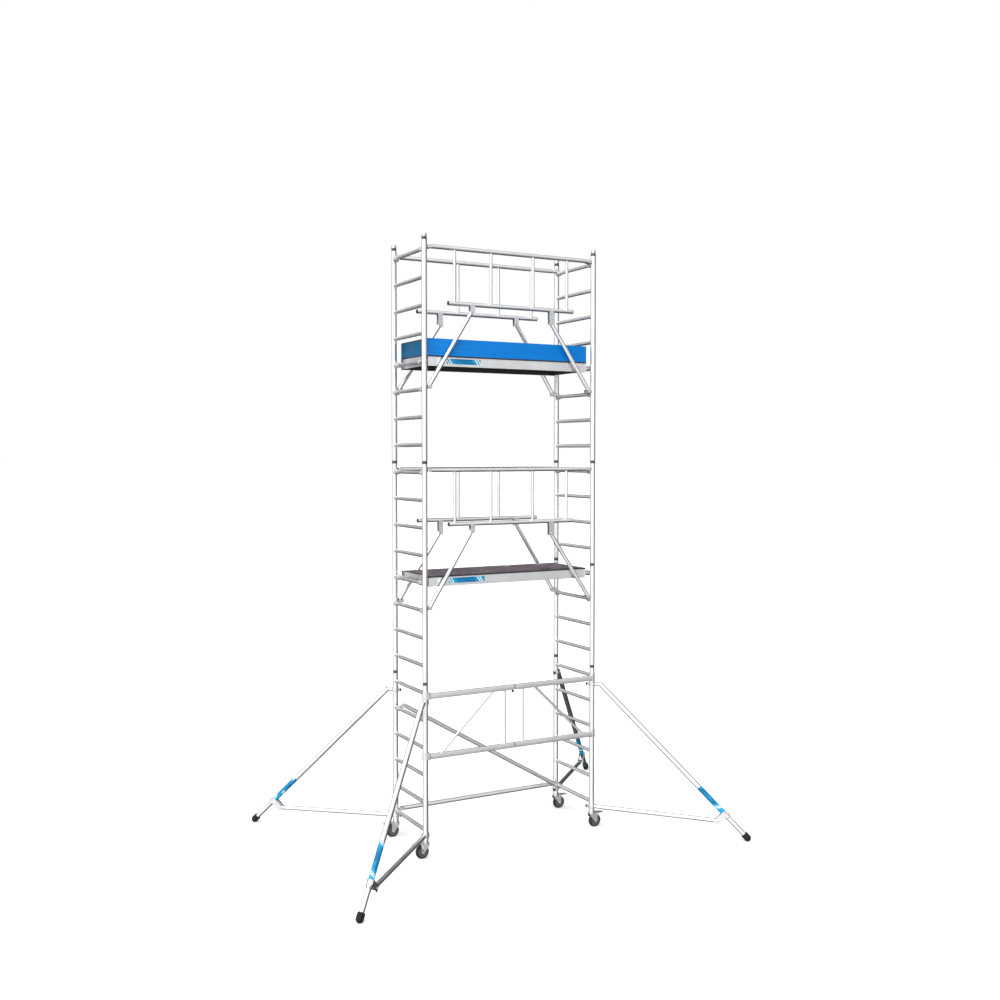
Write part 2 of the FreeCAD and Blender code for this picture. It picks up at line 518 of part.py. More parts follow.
def platform(deck_rung):
    """Frame, deck boards, hatch, hatch hinges, claws and wind locks of one platform."""
    z = rung_height(deck_rung)
    top = z + BEAM_TOP
    seat = top - DECK_THICKNESS
    beam = side_beam(z)
    beams = [beam, turned(beam, 180)]
    across = BEAM_Y
    crosses = []
    for x in (-HALF_BAY * 5 / 9, -HALF_BAY / 6, HATCH_START - TUBE_WALL, HATCH_END + TUBE_WALL):
        bar = block(x - CROSS_WIDTH / 2, x + CROSS_WIDTH / 2, -across, across, seat - CROSS_HEIGHT, seat)
        hollow = block(x - CROSS_WIDTH / 2 + TUBE_WALL, x + CROSS_WIDTH / 2 - TUBE_WALL, -across, across,
                       seat - CROSS_HEIGHT + TUBE_WALL, seat - TUBE_WALL)
        crosses.append(bar.cut(hollow).cut(beams[0]).cut(beams[1]))
    for side in (-1, 1):
        x0 = side * (BEAM_END - END_BEAM_WIDTH)
        x1 = side * BEAM_END
        bar = block(x0, x1, -across, across, z + BEAM_BOTTOM + 4, top)
        hollow = block(x0 + side * TUBE_WALL, x1 - side * TUBE_WALL, -across, across,
                       z + BEAM_BOTTOM + 4 + TUBE_WALL, top - TUBE_WALL)
        crosses.append(bar.cut(hollow).cut(beams[0]).cut(beams[1]))

    far_end = BEAM_END - END_BEAM_WIDTH - BODY_GAP
    main_board = block(-far_end, HATCH_START - HATCH_GAP, -DECK_HALF, DECK_HALF, seat, top)
    end_board = block(HATCH_END + HATCH_GAP, far_end, -DECK_HALF, DECK_HALF, seat, top)
    strip = block(HATCH_START - HATCH_GAP, HATCH_END + HATCH_GAP, HATCH_BACK + HATCH_GAP, DECK_HALF,
                  seat, top)

    axis_z = top + HINGE_RISE
    panel = block(HATCH_START, HATCH_END, HATCH_FRONT, HATCH_BACK, seat + HATCH_LIFT, top)
    grip_x = (HATCH_START + HATCH_END) / 2
    grip_y = HATCH_FRONT + GRIP_INSET
    grip = block(grip_x - GRIP_HALF, grip_x + GRIP_HALF, grip_y - GRIP_RADIUS, grip_y + GRIP_RADIUS,
                 seat, top)
    for x in (grip_x - GRIP_HALF, grip_x + GRIP_HALF):
        grip = grip.fuse(Part.makeCylinder(GRIP_RADIUS, DECK_THICKNESS, V(x, grip_y, seat)))
    hatch = [panel.cut(grip)]
    fixed = []
    third = HINGE_LENGTH / 3
    for x in HINGES_X:
        x0 = x - HINGE_LENGTH / 2
        leaf_y = HINGE_Y - HINGE_RADIUS
        moving_leaf = block(x0, x0 + HINGE_LENGTH, leaf_y - LEAF_WIDTH, leaf_y, top, top + HINGE_LEAF)
        moving_arm = block(x0 + third + BODY_GAP, x0 + 2 * third - BODY_GAP, leaf_y, HINGE_Y,
                           top + BODY_GAP, top + HINGE_LEAF)
        knuckle_start = V(x0 + third + BODY_GAP, HINGE_Y, axis_z)
        knuckle = Part.makeCylinder(HINGE_RADIUS, third - 2 * BODY_GAP, knuckle_start, X_AXIS)
        moving = knuckle.fuse([moving_arm, moving_leaf])
        bore = rod(V(x0, HINGE_Y, axis_z), V(x0 + HINGE_LENGTH, HINGE_Y, axis_z),
                   HINGE_PIN_RADIUS + RUNNING_CLEARANCE)
        hatch.append(moving.cut(bore).removeSplitter())
        pin = rod(V(x0, HINGE_Y, axis_z), V(x0 + HINGE_LENGTH, HINGE_Y, axis_z), HINGE_PIN_RADIUS)
        still_leaf = block(x0, x0 + HINGE_LENGTH, HATCH_BACK + HATCH_GAP, HINGE_Y + HINGE_RADIUS + LEAF_WIDTH,
                           top, top + HINGE_LEAF)
        for start in (x0, x0 + 2 * third):
            barrel = Part.makeCylinder(HINGE_RADIUS, third, V(start, HINGE_Y, axis_z), X_AXIS)
            arm = block(start, start + third, HINGE_Y, HINGE_Y + HINGE_RADIUS, top, axis_z)
            still_leaf = still_leaf.fuse([barrel, arm])
        relief = Part.makeCylinder(HINGE_RADIUS + BODY_GAP, third, V(x0 + third, HINGE_Y, axis_z), X_AXIS)
        fixed += [still_leaf.cut(relief).cut(pin).removeSplitter(), pin]

    claws = []
    locks = []
    inner = RUNG_R + CLAW_CLEARANCE
    outer = inner + CLAW_WALL
    for side in (-1, 1):
        x = side * HALF_BAY
        for y in (-PLATFORM_CLAW_Y, PLATFORM_CLAW_Y):
            y0 = y - PLATFORM_CLAW_WIDTH / 2
            y1 = y0 + PLATFORM_CLAW_WIDTH
            crown = Part.makeCylinder(outer, PLATFORM_CLAW_WIDTH, V(x, y0, z), Y_AXIS)
            crown = crown.cut(block(x - outer, x + outer, y0, y1, z - outer, z))
            arms = block(x - outer, x + outer, y0, y1, z - CLAW_DEPTH, z)
            root = block(side * BEAM_END, x, y0, y1, z - CLAW_DEPTH, z + inner)
            body = crown.fuse([arms, root])
            body = body.cut(Part.makeCylinder(inner, PLATFORM_CLAW_WIDTH + 2, V(x, y0 - 1, z), Y_AXIS))
            mouth = block(x - inner, x + inner, y0 - 1, y1 + 1, z - CLAW_DEPTH - 1, z)
            claws.append(body.cut(mouth).removeSplitter())
            locks.append(block(x - inner, x + inner, y - LOCK_THICKNESS, y + LOCK_THICKNESS,
                               z - inner - LOCK_THICKNESS, z - inner))
    for side in (-1, 1):
        lever_x = side * (BEAM_END - LEVER_INSET)
        outside = side * (BEAM_Y + BEAM_WIDTH)
        lever_low = z + BEAM_BOTTOM + LOCK_THICKNESS
        locks.append(block(lever_x - LEVER_WIDTH / 2, lever_x + LEVER_WIDTH / 2,
                           outside, outside + side * LOCK_THICKNESS, lever_low, lever_low + LOCK_LEVER))
    save_level(deck_rung, beams + crosses, [main_board, end_board, strip], hatch)
    return fixed, claws, locks


def save_level(deck_rung, frame, boards, hatch):
    level = "lower" if deck_rung == DECK_RUNGS[0] else "upper"
    save("platform_frame_" + level, frame)
    save("deck_" + level, boards)
    save("hatch_" + level, hatch)


hinges = []
platform_claws = []
wind_locks = []
for deck_rung in DECK_RUNGS:
    fixed, claws, locks = platform(deck_rung)
    hinges += fixed
    platform_claws += claws
    wind_locks += locks
save("hatch_hinges", hinges)
save("platform_claws", platform_claws)
save("wind_locks", wind_locks)

# ---------------------------------------------------------------- toe boards
CORNER = 3.0
CORNER_LEG = 34.0
board_low = rung_height(DECK_RUNGS[1]) + BEAM_TOP
board_high = board_low + TOE_BOARD_HEIGHT
board_out = BEAM_Y + BEAM_WIDTH + LIP_OUT
board_in = board_out - TOE_BOARD_THICKNESS
long_board = block(-BEAM_END, BEAM_END, board_in, board_out, board_low, board_high)
end_x = BEAM_END - TOE_BOARD_THICKNESS
end_toe_board = block(end_x, BEAM_END, -board_in + CORNER, board_in - CORNER, board_low, board_high)
save("toe_boards_long", [long_board, turned(long_board, 180)])
save("toe_boards_end", [end_toe_board, turned(end_toe_board, 180)])
corners = []
for sx in (-1, 1):
    for sy in (-1, 1):
        fitting_y = sy * (board_in - CORNER)
        along = block(sx * (end_x - CORNER_LEG), sx * BEAM_END, sy * board_in, fitting_y,
                      board_low, board_high)
        across = block(sx * end_x, sx * (end_x - CORNER), fitting_y, sy * (board_in - CORNER_LEG),
                       board_low, board_high)
        corners.append(along.fuse(across).removeSplitter())
save("toe_board_corners", corners)


# ---------------------------------------------------------------- castors
STEM_R = STILE_BORE_R - SPIGOT_CLEARANCE
STEM_LENGTH = 140.0
BEARING_R = 30.0
BEARING_LOW = 133.0
CROWN_THICKNESS = 4.0
KINGPIN_R = 7.0
CHEEK = 3.5
CHEEK_Y = HUB_WIDTH / 2 + BODY_GAP
WHEEL_R = WHEEL_DIAMETER / 2
PEDAL_X = 47.0
PEDAL_Z = 140.0
PEDAL_PIN = 4.0
PEDAL_BOSS = 7.5
PEDAL_LENGTH = 78.0
SHOE_HALF = 14.0             # half width of the brake shoe under the pedal
SHOE_DROP = 12.0
bearing_top = STILE_FOOT - 7.0

stem = Part.makeCylinder(STEM_R, STEM_LENGTH, V(0, 0, STILE_FOOT))
collar_low = bearing_top + BODY_GAP
stem_collar = Part.makeCylinder(STILE_R + 2, STILE_FOOT - collar_low, V(0, 0, collar_low))
kingpin = Part.makeCylinder(KINGPIN_R, STILE_FOOT - BEARING_LOW + 9, V(0, 0, BEARING_LOW - 9))
kingpin_head = Part.makeCylinder(KINGPIN_R + 4, 9 - CROWN_THICKNESS - BODY_GAP, V(0, 0, BEARING_LOW - 9))
stem_piece = stem.fuse([stem_collar, kingpin, kingpin_head]).removeSplitter()

king_bore = Part.makeCylinder(KINGPIN_R + RUNNING_CLEARANCE, 60, V(0, 0, BEARING_LOW - 20))
crown = block(-28, 37, -CHEEK_Y, CHEEK_Y, BEARING_LOW - CROWN_THICKNESS, BEARING_LOW).cut(king_bore)
bearing = Part.makeCylinder(BEARING_R, bearing_top - BEARING_LOW, V(0, 0, BEARING_LOW)).cut(king_bore)


def make_cheek():
    """Fork cheek: narrow at the axle, wide at the crown, with an ear for the pedal's pin."""
    outline = [
        V(-28, CHEEK_Y, BEARING_LOW), V(36, CHEEK_Y, BEARING_LOW), V(PEDAL_X - 9, CHEEK_Y, PEDAL_Z + 9),
        V(PEDAL_X + 9, CHEEK_Y, PEDAL_Z + 9), V(PEDAL_X + 8, CHEEK_Y, PEDAL_Z - 16),
        V(CASTOR_TRAIL + 14, CHEEK_Y, WHEEL_R), V(CASTOR_TRAIL - 14, CHEEK_Y, WHEEL_R),
        V(-28, CHEEK_Y, BEARING_LOW - 18),
    ]
    cheek = plate(outline, CHEEK, Y_AXIS)
    boss = Part.makeCylinder(14, CHEEK, V(CASTOR_TRAIL, CHEEK_Y, WHEEL_R), Y_AXIS)
    return cheek.fuse(boss).removeSplitter()


half_span = CHEEK_Y + CHEEK
axle_half = half_span + 4
axle_solid = rod(V(CASTOR_TRAIL, -axle_half, WHEEL_R), V(CASTOR_TRAIL, axle_half, WHEEL_R), AXLE_RADIUS)
pedal_pin = rod(V(PEDAL_X, -half_span - 1.5, PEDAL_Z), V(PEDAL_X, half_span + 1.5, PEDAL_Z), PEDAL_PIN)
cheek = make_cheek().cut(axle_solid).cut(pedal_pin)
other_cheek = moved(cheek, 0, -2 * CHEEK_Y - CHEEK, 0)
nuts = []
for face in (-1, 1):
    nut = Part.makeCylinder(9.5, 5, V(CASTOR_TRAIL, face * half_span, WHEEL_R), Y_AXIS * face)
    nuts.append(nut.cut(axle_solid))
fork_pieces = [crown, bearing, cheek, other_cheek, axle_solid, pedal_pin] + nuts

wheel_axis = V(CASTOR_TRAIL, 0, WHEEL_R)
bore_start = wheel_axis - Y_AXIS * HUB_WIDTH
axle_bore = Part.makeCylinder(AXLE_RADIUS + RUNNING_CLEARANCE, 2 * HUB_WIDTH, bore_start, Y_AXIS)
RIM_R = 47.0
HUB_R = 15.0
RIM_WIDTH = 30.0
WEB = 10.0
tyre = Part.makeCylinder(WHEEL_R, TYRE_WIDTH, wheel_axis - Y_AXIS * (TYRE_WIDTH / 2), Y_AXIS)
tyre = tyre.makeFillet(7, [e for e in tyre.Edges if abs(e.BoundBox.YLength) < 0.01])
tyre = tyre.cut(Part.makeCylinder(RIM_R, TYRE_WIDTH, wheel_axis - Y_AXIS * (TYRE_WIDTH / 2), Y_AXIS))
rim = Part.makeCylinder(RIM_R, RIM_WIDTH, wheel_axis - Y_AXIS * (RIM_WIDTH / 2), Y_AXIS)
hub = Part.makeCylinder(HUB_R, HUB_WIDTH, wheel_axis - Y_AXIS * (HUB_WIDTH / 2), Y_AXIS)
for face in (-1, 1):
    start = wheel_axis + Y_AXIS * (face * WEB / 2)
    dish = Part.makeCylinder(RIM_R - 5, RIM_WIDTH, start, Y_AXIS * face)
    rim = rim.cut(dish)
rim = rim.fuse(hub).cut(axle_bore).removeSplitter()

pedal_bore = rod(V(PEDAL_X, -half_span, PEDAL_Z), V(PEDAL_X, half_span, PEDAL_Z),
                 PEDAL_PIN + RUNNING_CLEARANCE)
boss_half = CHEEK_Y - BODY_GAP
pedal_boss = Part.makeCylinder(PEDAL_BOSS, 2 * boss_half, V(PEDAL_X, -boss_half, PEDAL_Z), Y_AXIS)
tread_end = PEDAL_X + PEDAL_LENGTH
tread = plate([V(PEDAL_X, -boss_half, PEDAL_Z + 5), V(tread_end, -boss_half, PEDAL_Z - 3),
               V(tread_end, -boss_half, PEDAL_Z - 8), V(PEDAL_X, -boss_half, PEDAL_Z)], 2 * boss_half, Y_AXIS)
shoe = block(PEDAL_X + 20, PEDAL_X + 34, -SHOE_HALF, SHOE_HALF, PEDAL_Z - SHOE_DROP, PEDAL_Z)
pedal = pedal_boss.fuse([tread, shoe]).cut(pedal_bore).removeSplitter()

PLACES = {
    "front_left": (-1, -1),
    "front_right": (1, -1),
    "back_left": (-1, 1),
    "back_right": (1, 1),
}
stems = []
for name, (sx, sy) in PLACES.items():
    heading = 0 if sx > 0 else 180
    x = sx * HALF_BAY
    y = sy * HALF_WIDTH
    stems.append(moved(turned(stem_piece, heading), x, y))
    save("castor_fork_" + name, [moved(turned(s, heading), x, y) for s in fork_pieces])
    save("castor_wheel_" + name, [moved(turned(s, heading), x, y) for s in (tyre, rim)])
    save("castor_brake_" + name, [moved(turned(pedal, heading), x, y)])
save("castor_stems", stems)

# ---------------------------------------------------------------- stabilisers
# Modelled along +X from a stile on the Z axis, then turned to 45 degrees at each corner.
CLAMP_HEIGHT = 38.0
CLAMP_RING = 7.0
STUB_DIAMETER = 40.0
SCREW_RADIUS = 5.0
KNOB_RADIUS = 17.0
FOOT_LENGTH = 46.0
FORK_LENGTH = 52.0
FORK_DEPTH = 142.0
PLATE_THICKNESS = 4.0
PLUNGER_RADIUS = 8.0
leg_top = V(LEG_START, 0, UPPER_CLAMP)
foot_centre = V(STABILISER_REACH, 0, FOOT_RADIUS - 0.5)
leg_run = foot_centre.sub(leg_top).normalize()
leg_side = V(-leg_run.z, 0, leg_run.x)


def leg_point(reach):
    """Point on the leg's axis at a distance from the stile, measured along the floor."""
    return leg_top + leg_run * ((reach - LEG_START) / leg_run.x)


def stile_clamp(z, stub_end):
    """Collar round the stile with a stub for the leg or strut, and its screw and star knob."""
    low = V(0, 0, z - CLAMP_HEIGHT / 2)
    ring = Part.makeCylinder(STILE_R + BODY_GAP + CLAMP_RING, CLAMP_HEIGHT, low)
    stub = rod(V(0, 0, z), stub_end, STUB_DIAMETER / 2 - 3)
    boss = rod(V(0, 0, z), V(-STILE_R - 13, 0, z), 11)
    collar = ring.fuse([stub, boss])
    collar = collar.cut(Part.makeCylinder(STILE_R + BODY_GAP, CLAMP_HEIGHT, low))
    screw = rod(V(-STILE_R - BODY_GAP - 0.5, 0, z), V(-STILE_R - 24, 0, z), SCREW_RADIUS)
    knob = rod(V(-STILE_R - 20, 0, z), V(-STILE_R - 34, 0, z), KNOB_RADIUS - 4)
    for step in range(5):
        angle = math.radians(72 * step)
        centre = V(0, math.cos(angle), math.sin(angle)) * (KNOB_RADIUS - 6)
        start = V(-STILE_R - 20, 0, z) + centre
        knob = knob.fuse(rod(start, start - X_AXIS * 14, 6))
    return [collar.cut(screw).removeSplitter(), screw, knob.cut(screw).removeSplitter()]


upper = stile_clamp(UPPER_CLAMP, V(LEG_START + 4, 0, UPPER_CLAMP))
strut_in = V(STILE_R + 34, 0, LOWER_CLAMP)
strut_out = V(STRUT_OUT, 0, STRUT_OUT_HEIGHT)
lower = stile_clamp(LOWER_CLAMP, strut_in)
leg = tube(leg_top - leg_run * 10, leg_point(ARM_END), ARM_DIAMETER)
leg_core = rod(leg_top - leg_run * 10, leg_point(ARM_END), ARM_DIAMETER / 2)
upper[0] = upper[0].cut(leg_core)
strut = tube(strut_in, strut_out, RAIL_DIAMETER)
fork_axis = strut_out + leg_side * (-26)
fork_top = fork_axis + leg_side * FORK_DEPTH
corner = leg_run * (FORK_LENGTH / 2)
plates = []
for face in (-1, 1):
    y_in = face * (ARM_DIAMETER / 2)
    outline = [fork_axis - corner, fork_axis + corner, fork_top + corner, fork_top - corner]
    side_plate = plate([p + V(0, y_in, 0) for p in outline], PLATE_THICKNESS * face, Y_AXIS)
    plates.append(side_plate)
fork_bolt = rod(V(STRUT_OUT - 6, -36, STRUT_OUT_HEIGHT), V(STRUT_OUT - 6, 36, STRUT_OUT_HEIGHT), 5)
strut = strut.cut(fork_bolt)
plates = [p.cut(fork_bolt) for p in plates]
plunger_foot = leg_point(ARM_END - 16) + leg_side * (ARM_DIAMETER / 2 - 1)
plunger = rod(plunger_foot, plunger_foot + leg_side * 17, PLUNGER_RADIUS).cut(leg_core)
arm_pieces = upper + lower + [leg, strut, fork_bolt, plunger] + plates

foot_start = leg_point(ARM_END) - leg_run * FOOT_TUBE_HELD
foot_end = foot_centre - leg_run * 8
foot_tube = tube(foot_start, foot_end, FOOT_TUBE_DIAMETER, 2.5)
boot = Part.makeSphere(FOOT_RADIUS, foot_centre)
boot = boot.fuse(rod(foot_centre - leg_run * FOOT_LENGTH, foot_centre, FOOT_RADIUS))
boot = boot.cut(block(0, 2 * STABILISER_REACH, -100, 100, -100, 0))
socket = rod(foot_centre - leg_run * (FOOT_LENGTH + 5), foot_end, FOOT_TUBE_DIAMETER / 2)
boot = boot.cut(socket).removeSplitter()

for name, (sx, sy) in PLACES.items():
    heading = math.degrees(math.atan2(sy, sx))
    x = sx * HALF_BAY
    y = sy * HALF_WIDTH
    save("stabiliser_" + name, [moved(turned(s, heading), x, y) for s in arm_pieces])
    save("stabiliser_foot_" + name, [moved(turned(foot_tube, heading), x, y)])
    save("foot_pad_" + name, [moved(turned(boot, heading), x, y)])
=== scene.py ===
import json
import math

import bmesh
import bpy
import numpy as np
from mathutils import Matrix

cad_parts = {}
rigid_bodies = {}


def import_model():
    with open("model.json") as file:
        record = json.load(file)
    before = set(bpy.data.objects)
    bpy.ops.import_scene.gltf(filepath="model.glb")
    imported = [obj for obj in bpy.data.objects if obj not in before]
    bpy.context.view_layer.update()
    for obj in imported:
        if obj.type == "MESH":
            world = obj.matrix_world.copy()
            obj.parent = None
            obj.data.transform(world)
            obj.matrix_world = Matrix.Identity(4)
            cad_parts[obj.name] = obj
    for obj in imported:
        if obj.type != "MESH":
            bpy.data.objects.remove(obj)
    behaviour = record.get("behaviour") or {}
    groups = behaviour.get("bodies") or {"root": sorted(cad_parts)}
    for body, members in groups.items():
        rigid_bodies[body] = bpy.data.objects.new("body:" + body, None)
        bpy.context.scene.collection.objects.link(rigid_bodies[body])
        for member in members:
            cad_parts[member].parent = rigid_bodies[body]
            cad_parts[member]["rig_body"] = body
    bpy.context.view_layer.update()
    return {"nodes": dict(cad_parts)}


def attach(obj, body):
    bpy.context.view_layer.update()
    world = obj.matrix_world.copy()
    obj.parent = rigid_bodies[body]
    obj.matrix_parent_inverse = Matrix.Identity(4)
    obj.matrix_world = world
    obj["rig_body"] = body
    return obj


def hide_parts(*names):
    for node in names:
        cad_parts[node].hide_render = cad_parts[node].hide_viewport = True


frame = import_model()


# ================================================================ ladder frames
# The two ends of the tower are stacks of welded ladder frames: two round aluminium stiles, and ribbed
# rungs whose ends are saddled to the stiles and welded all round.
STILE_X = 0.9
STILE_Y = 0.3375
STILE_RADIUS = 0.025
RUNG_RADIUS = 0.017
RUNG_LOW = 0.253
RUNG_PITCH = 0.25
WALL = 0.002
RUNG_RIBS = 22
RIB_DEPTH = 0.0005
CREASE = 32.0                 # degrees, from which an edge stays sharp
X_AXIS, Y_AXIS, Z_AXIS = np.eye(3)
LADDER_FRAMES = {             # side, foot and head of the stiles, first rung, number of rungs
    "base_frame_left": (-1, 0.150, 1.581, 0, 6),
    "frame_left_middle": (-1, 1.609, 3.581, 6, 8),
    "frame_left_top": (-1, 3.609, 5.581, 14, 8),
    "base_frame_right": (1, 0.150, 1.581, 0, 6),
    "frame_right_lower": (1, 1.609, 2.581, 6, 4),
    "frame_right_middle": (1, 2.609, 3.581, 10, 4),
    "frame_right_top": (1, 3.609, 5.581, 14, 8),
}


def node(tree, kind, settings=None, **inputs):
    """A shader node. A key such as i0 names an input by its place, any other key by its name. A colour is
    given by its three parts."""
    made = tree.nodes.new("ShaderNode" + kind)
    for key, value in (settings or {}).items():
        setattr(made, key, value)
    for key, value in inputs.items():
        by_place = key[0] == "i" and key[1:].isdigit()
        socket = made.inputs[int(key[1:])] if by_place else made.inputs[key.replace("_", " ")]
        if isinstance(value, bpy.types.NodeSocket):
            tree.links.new(value, socket)
        elif socket.type == "RGBA":
            socket.default_value = (*value, 1.0)
        else:
            socket.default_value = value
    return made


def new_finish(name, metallic, specular=0.5):
    """A material with the values that are the same all over, and its node tree."""
    material = bpy.data.materials.new(name)
    material.use_nodes = True
    shader = material.node_tree.nodes["Principled BSDF"]
    shader.inputs["Metallic"].default_value = metallic
    shader.inputs["Specular IOR Level"].default_value = specular
    return material, material.node_tree


def place_of(tree, source="Object", scale=(1.0, 1.0, 1.0)):
    """Coordinates on the piece, UV or Object, stretched by a scale along each direction."""
    coordinates = node(tree, "TexCoord")
    return node(tree, "Mapping", Vector=coordinates.outputs[source], Scale=scale).outputs[0]


def noise(tree, where, scale, detail=3.0, rough=0.55):
    made = node(tree, "TexNoise", Vector=where, Scale=scale, Detail=detail, Roughness=rough)
    return made.outputs["Fac"]


def spread(tree, value, low, high, to_low, to_high):
    """A value carried from one range to another and held inside it."""
    return node(tree, "MapRange", i0=value, i1=low, i2=high, i3=to_low, i4=to_high).outputs[0]


def blend(tree, factor, first, second):
    """Colour between two others."""
    made = node(tree, "Mix", {"data_type": "RGBA"}, i0=factor, i6=first, i7=second)
    return made.outputs[2]


def sum_of(tree, first, second, kind="ADD"):
    return node(tree, "Math", {"operation": kind}, i0=first, i1=second).outputs[0]


def dressed(material, tone, gloss, height, strength, depth):
    """The finish with its colour, its roughness and its relief joined to the shader."""
    tree = material.node_tree
    bump = node(tree, "Bump", Height=height, Strength=strength, Distance=depth)
    for value, socket in ((tone, "Base Color"), (gloss, "Roughness"), (bump.outputs[0], "Normal")):
        tree.links.new(value, tree.nodes["Principled BSDF"].inputs[socket])
    return material


def drawn_metal(name, bright, dull, smooth, rough):
    """Drawn tube: fine lines along it, a slow clouding of the oxide, and duller rubbed patches."""
    material, tree = new_finish(name, 1.0)
    lines = noise(tree, place_of(tree, "UV", (900.0, 5.0, 1.0)), 1.0, 4.0)
    marks = noise(tree, place_of(tree, "UV", (260.0, 34.0, 1.0)), 1.0, 2.0)
    cloud = noise(tree, place_of(tree), 7.0, 5.0)
    rubbed = spread(tree, noise(tree, place_of(tree), 38.0, 4.0), 0.56, 0.72, 0.0, 1.0)
    tone = blend(tree, spread(tree, cloud, 0.3, 0.7, 0.0, 1.0), dull, bright)
    tone = blend(tree, spread(tree, lines, 0.35, 0.75, 0.0, 0.30), tone, dull)
    tone = blend(tree, spread(tree, marks, 0.66, 0.74, 0.0, 0.25), tone, (0.50, 0.50, 0.51))
    worn = spread(tree, rubbed, 0.0, 1.0, 0.0, 0.10)
    gloss = sum_of(tree, spread(tree, lines, 0.3, 0.8, smooth, rough), worn)
    return dressed(material, tone, gloss, sum_of(tree, lines, rubbed), 0.10, 0.0004)


def weld_metal(name):
    """Weld bead: bright, rippled, with darker heat marks."""
    material, tree = new_finish(name, 1.0)
    where = place_of(tree)
    grain = noise(tree, where, 900.0, 2.0)
    heat = noise(tree, where, 160.0, 3.0)
    tone = blend(tree, heat, (0.56, 0.56, 0.57), (0.78, 0.78, 0.79))
    return dressed(material, tone, spread(tree, grain, 0.3, 0.7, 0.32, 0.55), grain, 0.3, 0.0005)


def unit(vector):
    vector = np.asarray(vector, float)
    return vector / np.linalg.norm(vector)


def circle(axis, sides):
    """Evenly spaced angles round an axis, and the unit directions at them."""
    helper = Z_AXIS if abs(axis[2]) < 0.9 else X_AXIS
    across = unit(np.cross(helper, axis))
    angle = np.linspace(0.0, 2.0 * math.pi, sides, endpoint=False)
    return angle, np.cos(angle)[:, None] * across + np.sin(angle)[:, None] * np.cross(axis, across)


def unrolled(around, down):
    """UV of a grid: the distance round it and the distance along it."""
    return np.stack(np.broadcast_arrays(around[None, :], down[:, None]), -1)


def lathe(start, end, profile, sides=40, closed=True, shape=None):
    """Turned surface: each (distance from start, radius) pair goes once round the line from start to end.
    shape, if given, changes distances and radii with the angle. closed joins the last pair to the first."""
    start = np.asarray(start, float)
    axis = unit(np.asarray(end, float) - start)
    angle, ring = circle(axis, sides)
    along, radius = np.array(profile, float).T
    along = np.repeat(along[:, None], sides, 1)
    radius = np.repeat(radius[:, None], sides, 1)
    widest = radius.max()
    if shape:
        along, radius = shape(along, radius, angle[None, :])
    points = start + along[..., None] * axis + radius[..., None] * ring[None]
    around = np.linspace(0.0, 2.0 * math.pi * widest, sides + 1)
    down = np.append(along[:, 0], along[0, 0]) if closed else along[:, 0]
    return points, unrolled(around, down), closed, True


def length_of(start, end):
    return float(np.linalg.norm(np.asarray(end, float) - np.asarray(start, float)))


def tube(start, end, radius, wall=WALL, sides=40, lip=0.0007):
    """Round tube with its wall, cut square, the outer rim of each end broken by a small chamfer."""
    run = length_of(start, end)
    inner = radius - wall
    profile = [(0, radius - lip), (lip, radius), (run - lip, radius), (run, radius - lip),
               (run, inner), (0, inner)]
    return lathe(start, end, profile, sides)


def on_tube(main, radius):
    """Reach of a bar's lines from a main tube's axis to its skin: the root of |(p + s a) x m| = radius."""
    main = unit(main)

    def reach(offsets, along):
        aside, lean = np.cross(offsets, main), np.cross(along, main)
        square, half = lean @ lean, aside @ lean
        rest = (aside * aside).sum(-1) - radius ** 2
        return (-half + np.sqrt(half * half - square * rest)) / square
    return reach


def on_flat(normal, height):
    """Reach of a bar's lines to a flat face at a height along its normal."""
    normal = unit(normal)

    def reach(offsets, along):
        return (height - offsets @ normal) / (along @ normal)
    return reach


def bar(start, end, radius, wall, first, last, sides=32, ribs=0):
    """Tube from one main tube's axis to another's, each end trimmed to the skin that it meets. Its radius
    dips between ribs by a cosine of the angle."""
    start, end = np.asarray(start, float), np.asarray(end, float)
    axis = unit(end - start)
    angle, ring = circle(axis, sides)
    outer = radius - (RIB_DEPTH * (0.5 - 0.5 * np.cos(ribs * angle)) if ribs else 0.0 * angle)
    low = first(ring * radius, axis)
    high = length_of(start, end) - last(ring * radius, -axis)
    radii = np.stack([outer, outer, outer * 0 + radius - wall, outer * 0 + radius - wall])
    along = np.stack([low, high, high, low])
    points = start + along[..., None] * axis + radii[..., None] * ring[None]
    around = np.linspace(0.0, 2.0 * math.pi * radius, sides + 1)
    down = np.array([low[0], high[0], high[0], low[0], low[0]])
    return points, unrolled(around, down), True, True


def bead(start, axis, radius, reach, thick=0.0024, sides=26):
    """Weld bead: a small circle carried round the line where a bar meets a main tube, its size rippling."""
    axis = unit(axis)
    angle, ring = circle(axis, sides)
    path = np.asarray(start, float) + ring * radius + reach(ring * radius, axis)[:, None] * axis
    turn = np.linspace(0.0, 2.0 * math.pi, 6, endpoint=False)
    size = thick * (1.0 + 0.16 * np.cos(13 * angle))
    spoke = np.cos(turn)[None, :, None] * ring[:, None] + np.sin(turn)[None, :, None] * axis
    points = path[:, None] + size[:, None, None] * spoke
    corners = np.stack(np.meshgrid(np.arange(sides + 1), np.arange(7), indexing="ij"), -1) * 0.002
    return points, corners, True, True


def faces_of(points, closed_rows, closed_columns):
    """Quads between neighbouring points of a grid, and the grid places of their corners."""
    rows, columns = points.shape[:2]
    last = (rows - (not closed_rows), columns - (not closed_columns))
    i, j = (places.ravel() for places in np.indices(last))
    i2, j2 = (i + 1) % rows, (j + 1) % columns
    quads = np.stack([i * columns + j, i * columns + j2, i2 * columns + j2, i2 * columns + j], -1)
    return quads, np.stack([i, i, i + 1, i + 1], -1), np.stack([j, j + 1, j + 1, j], -1)


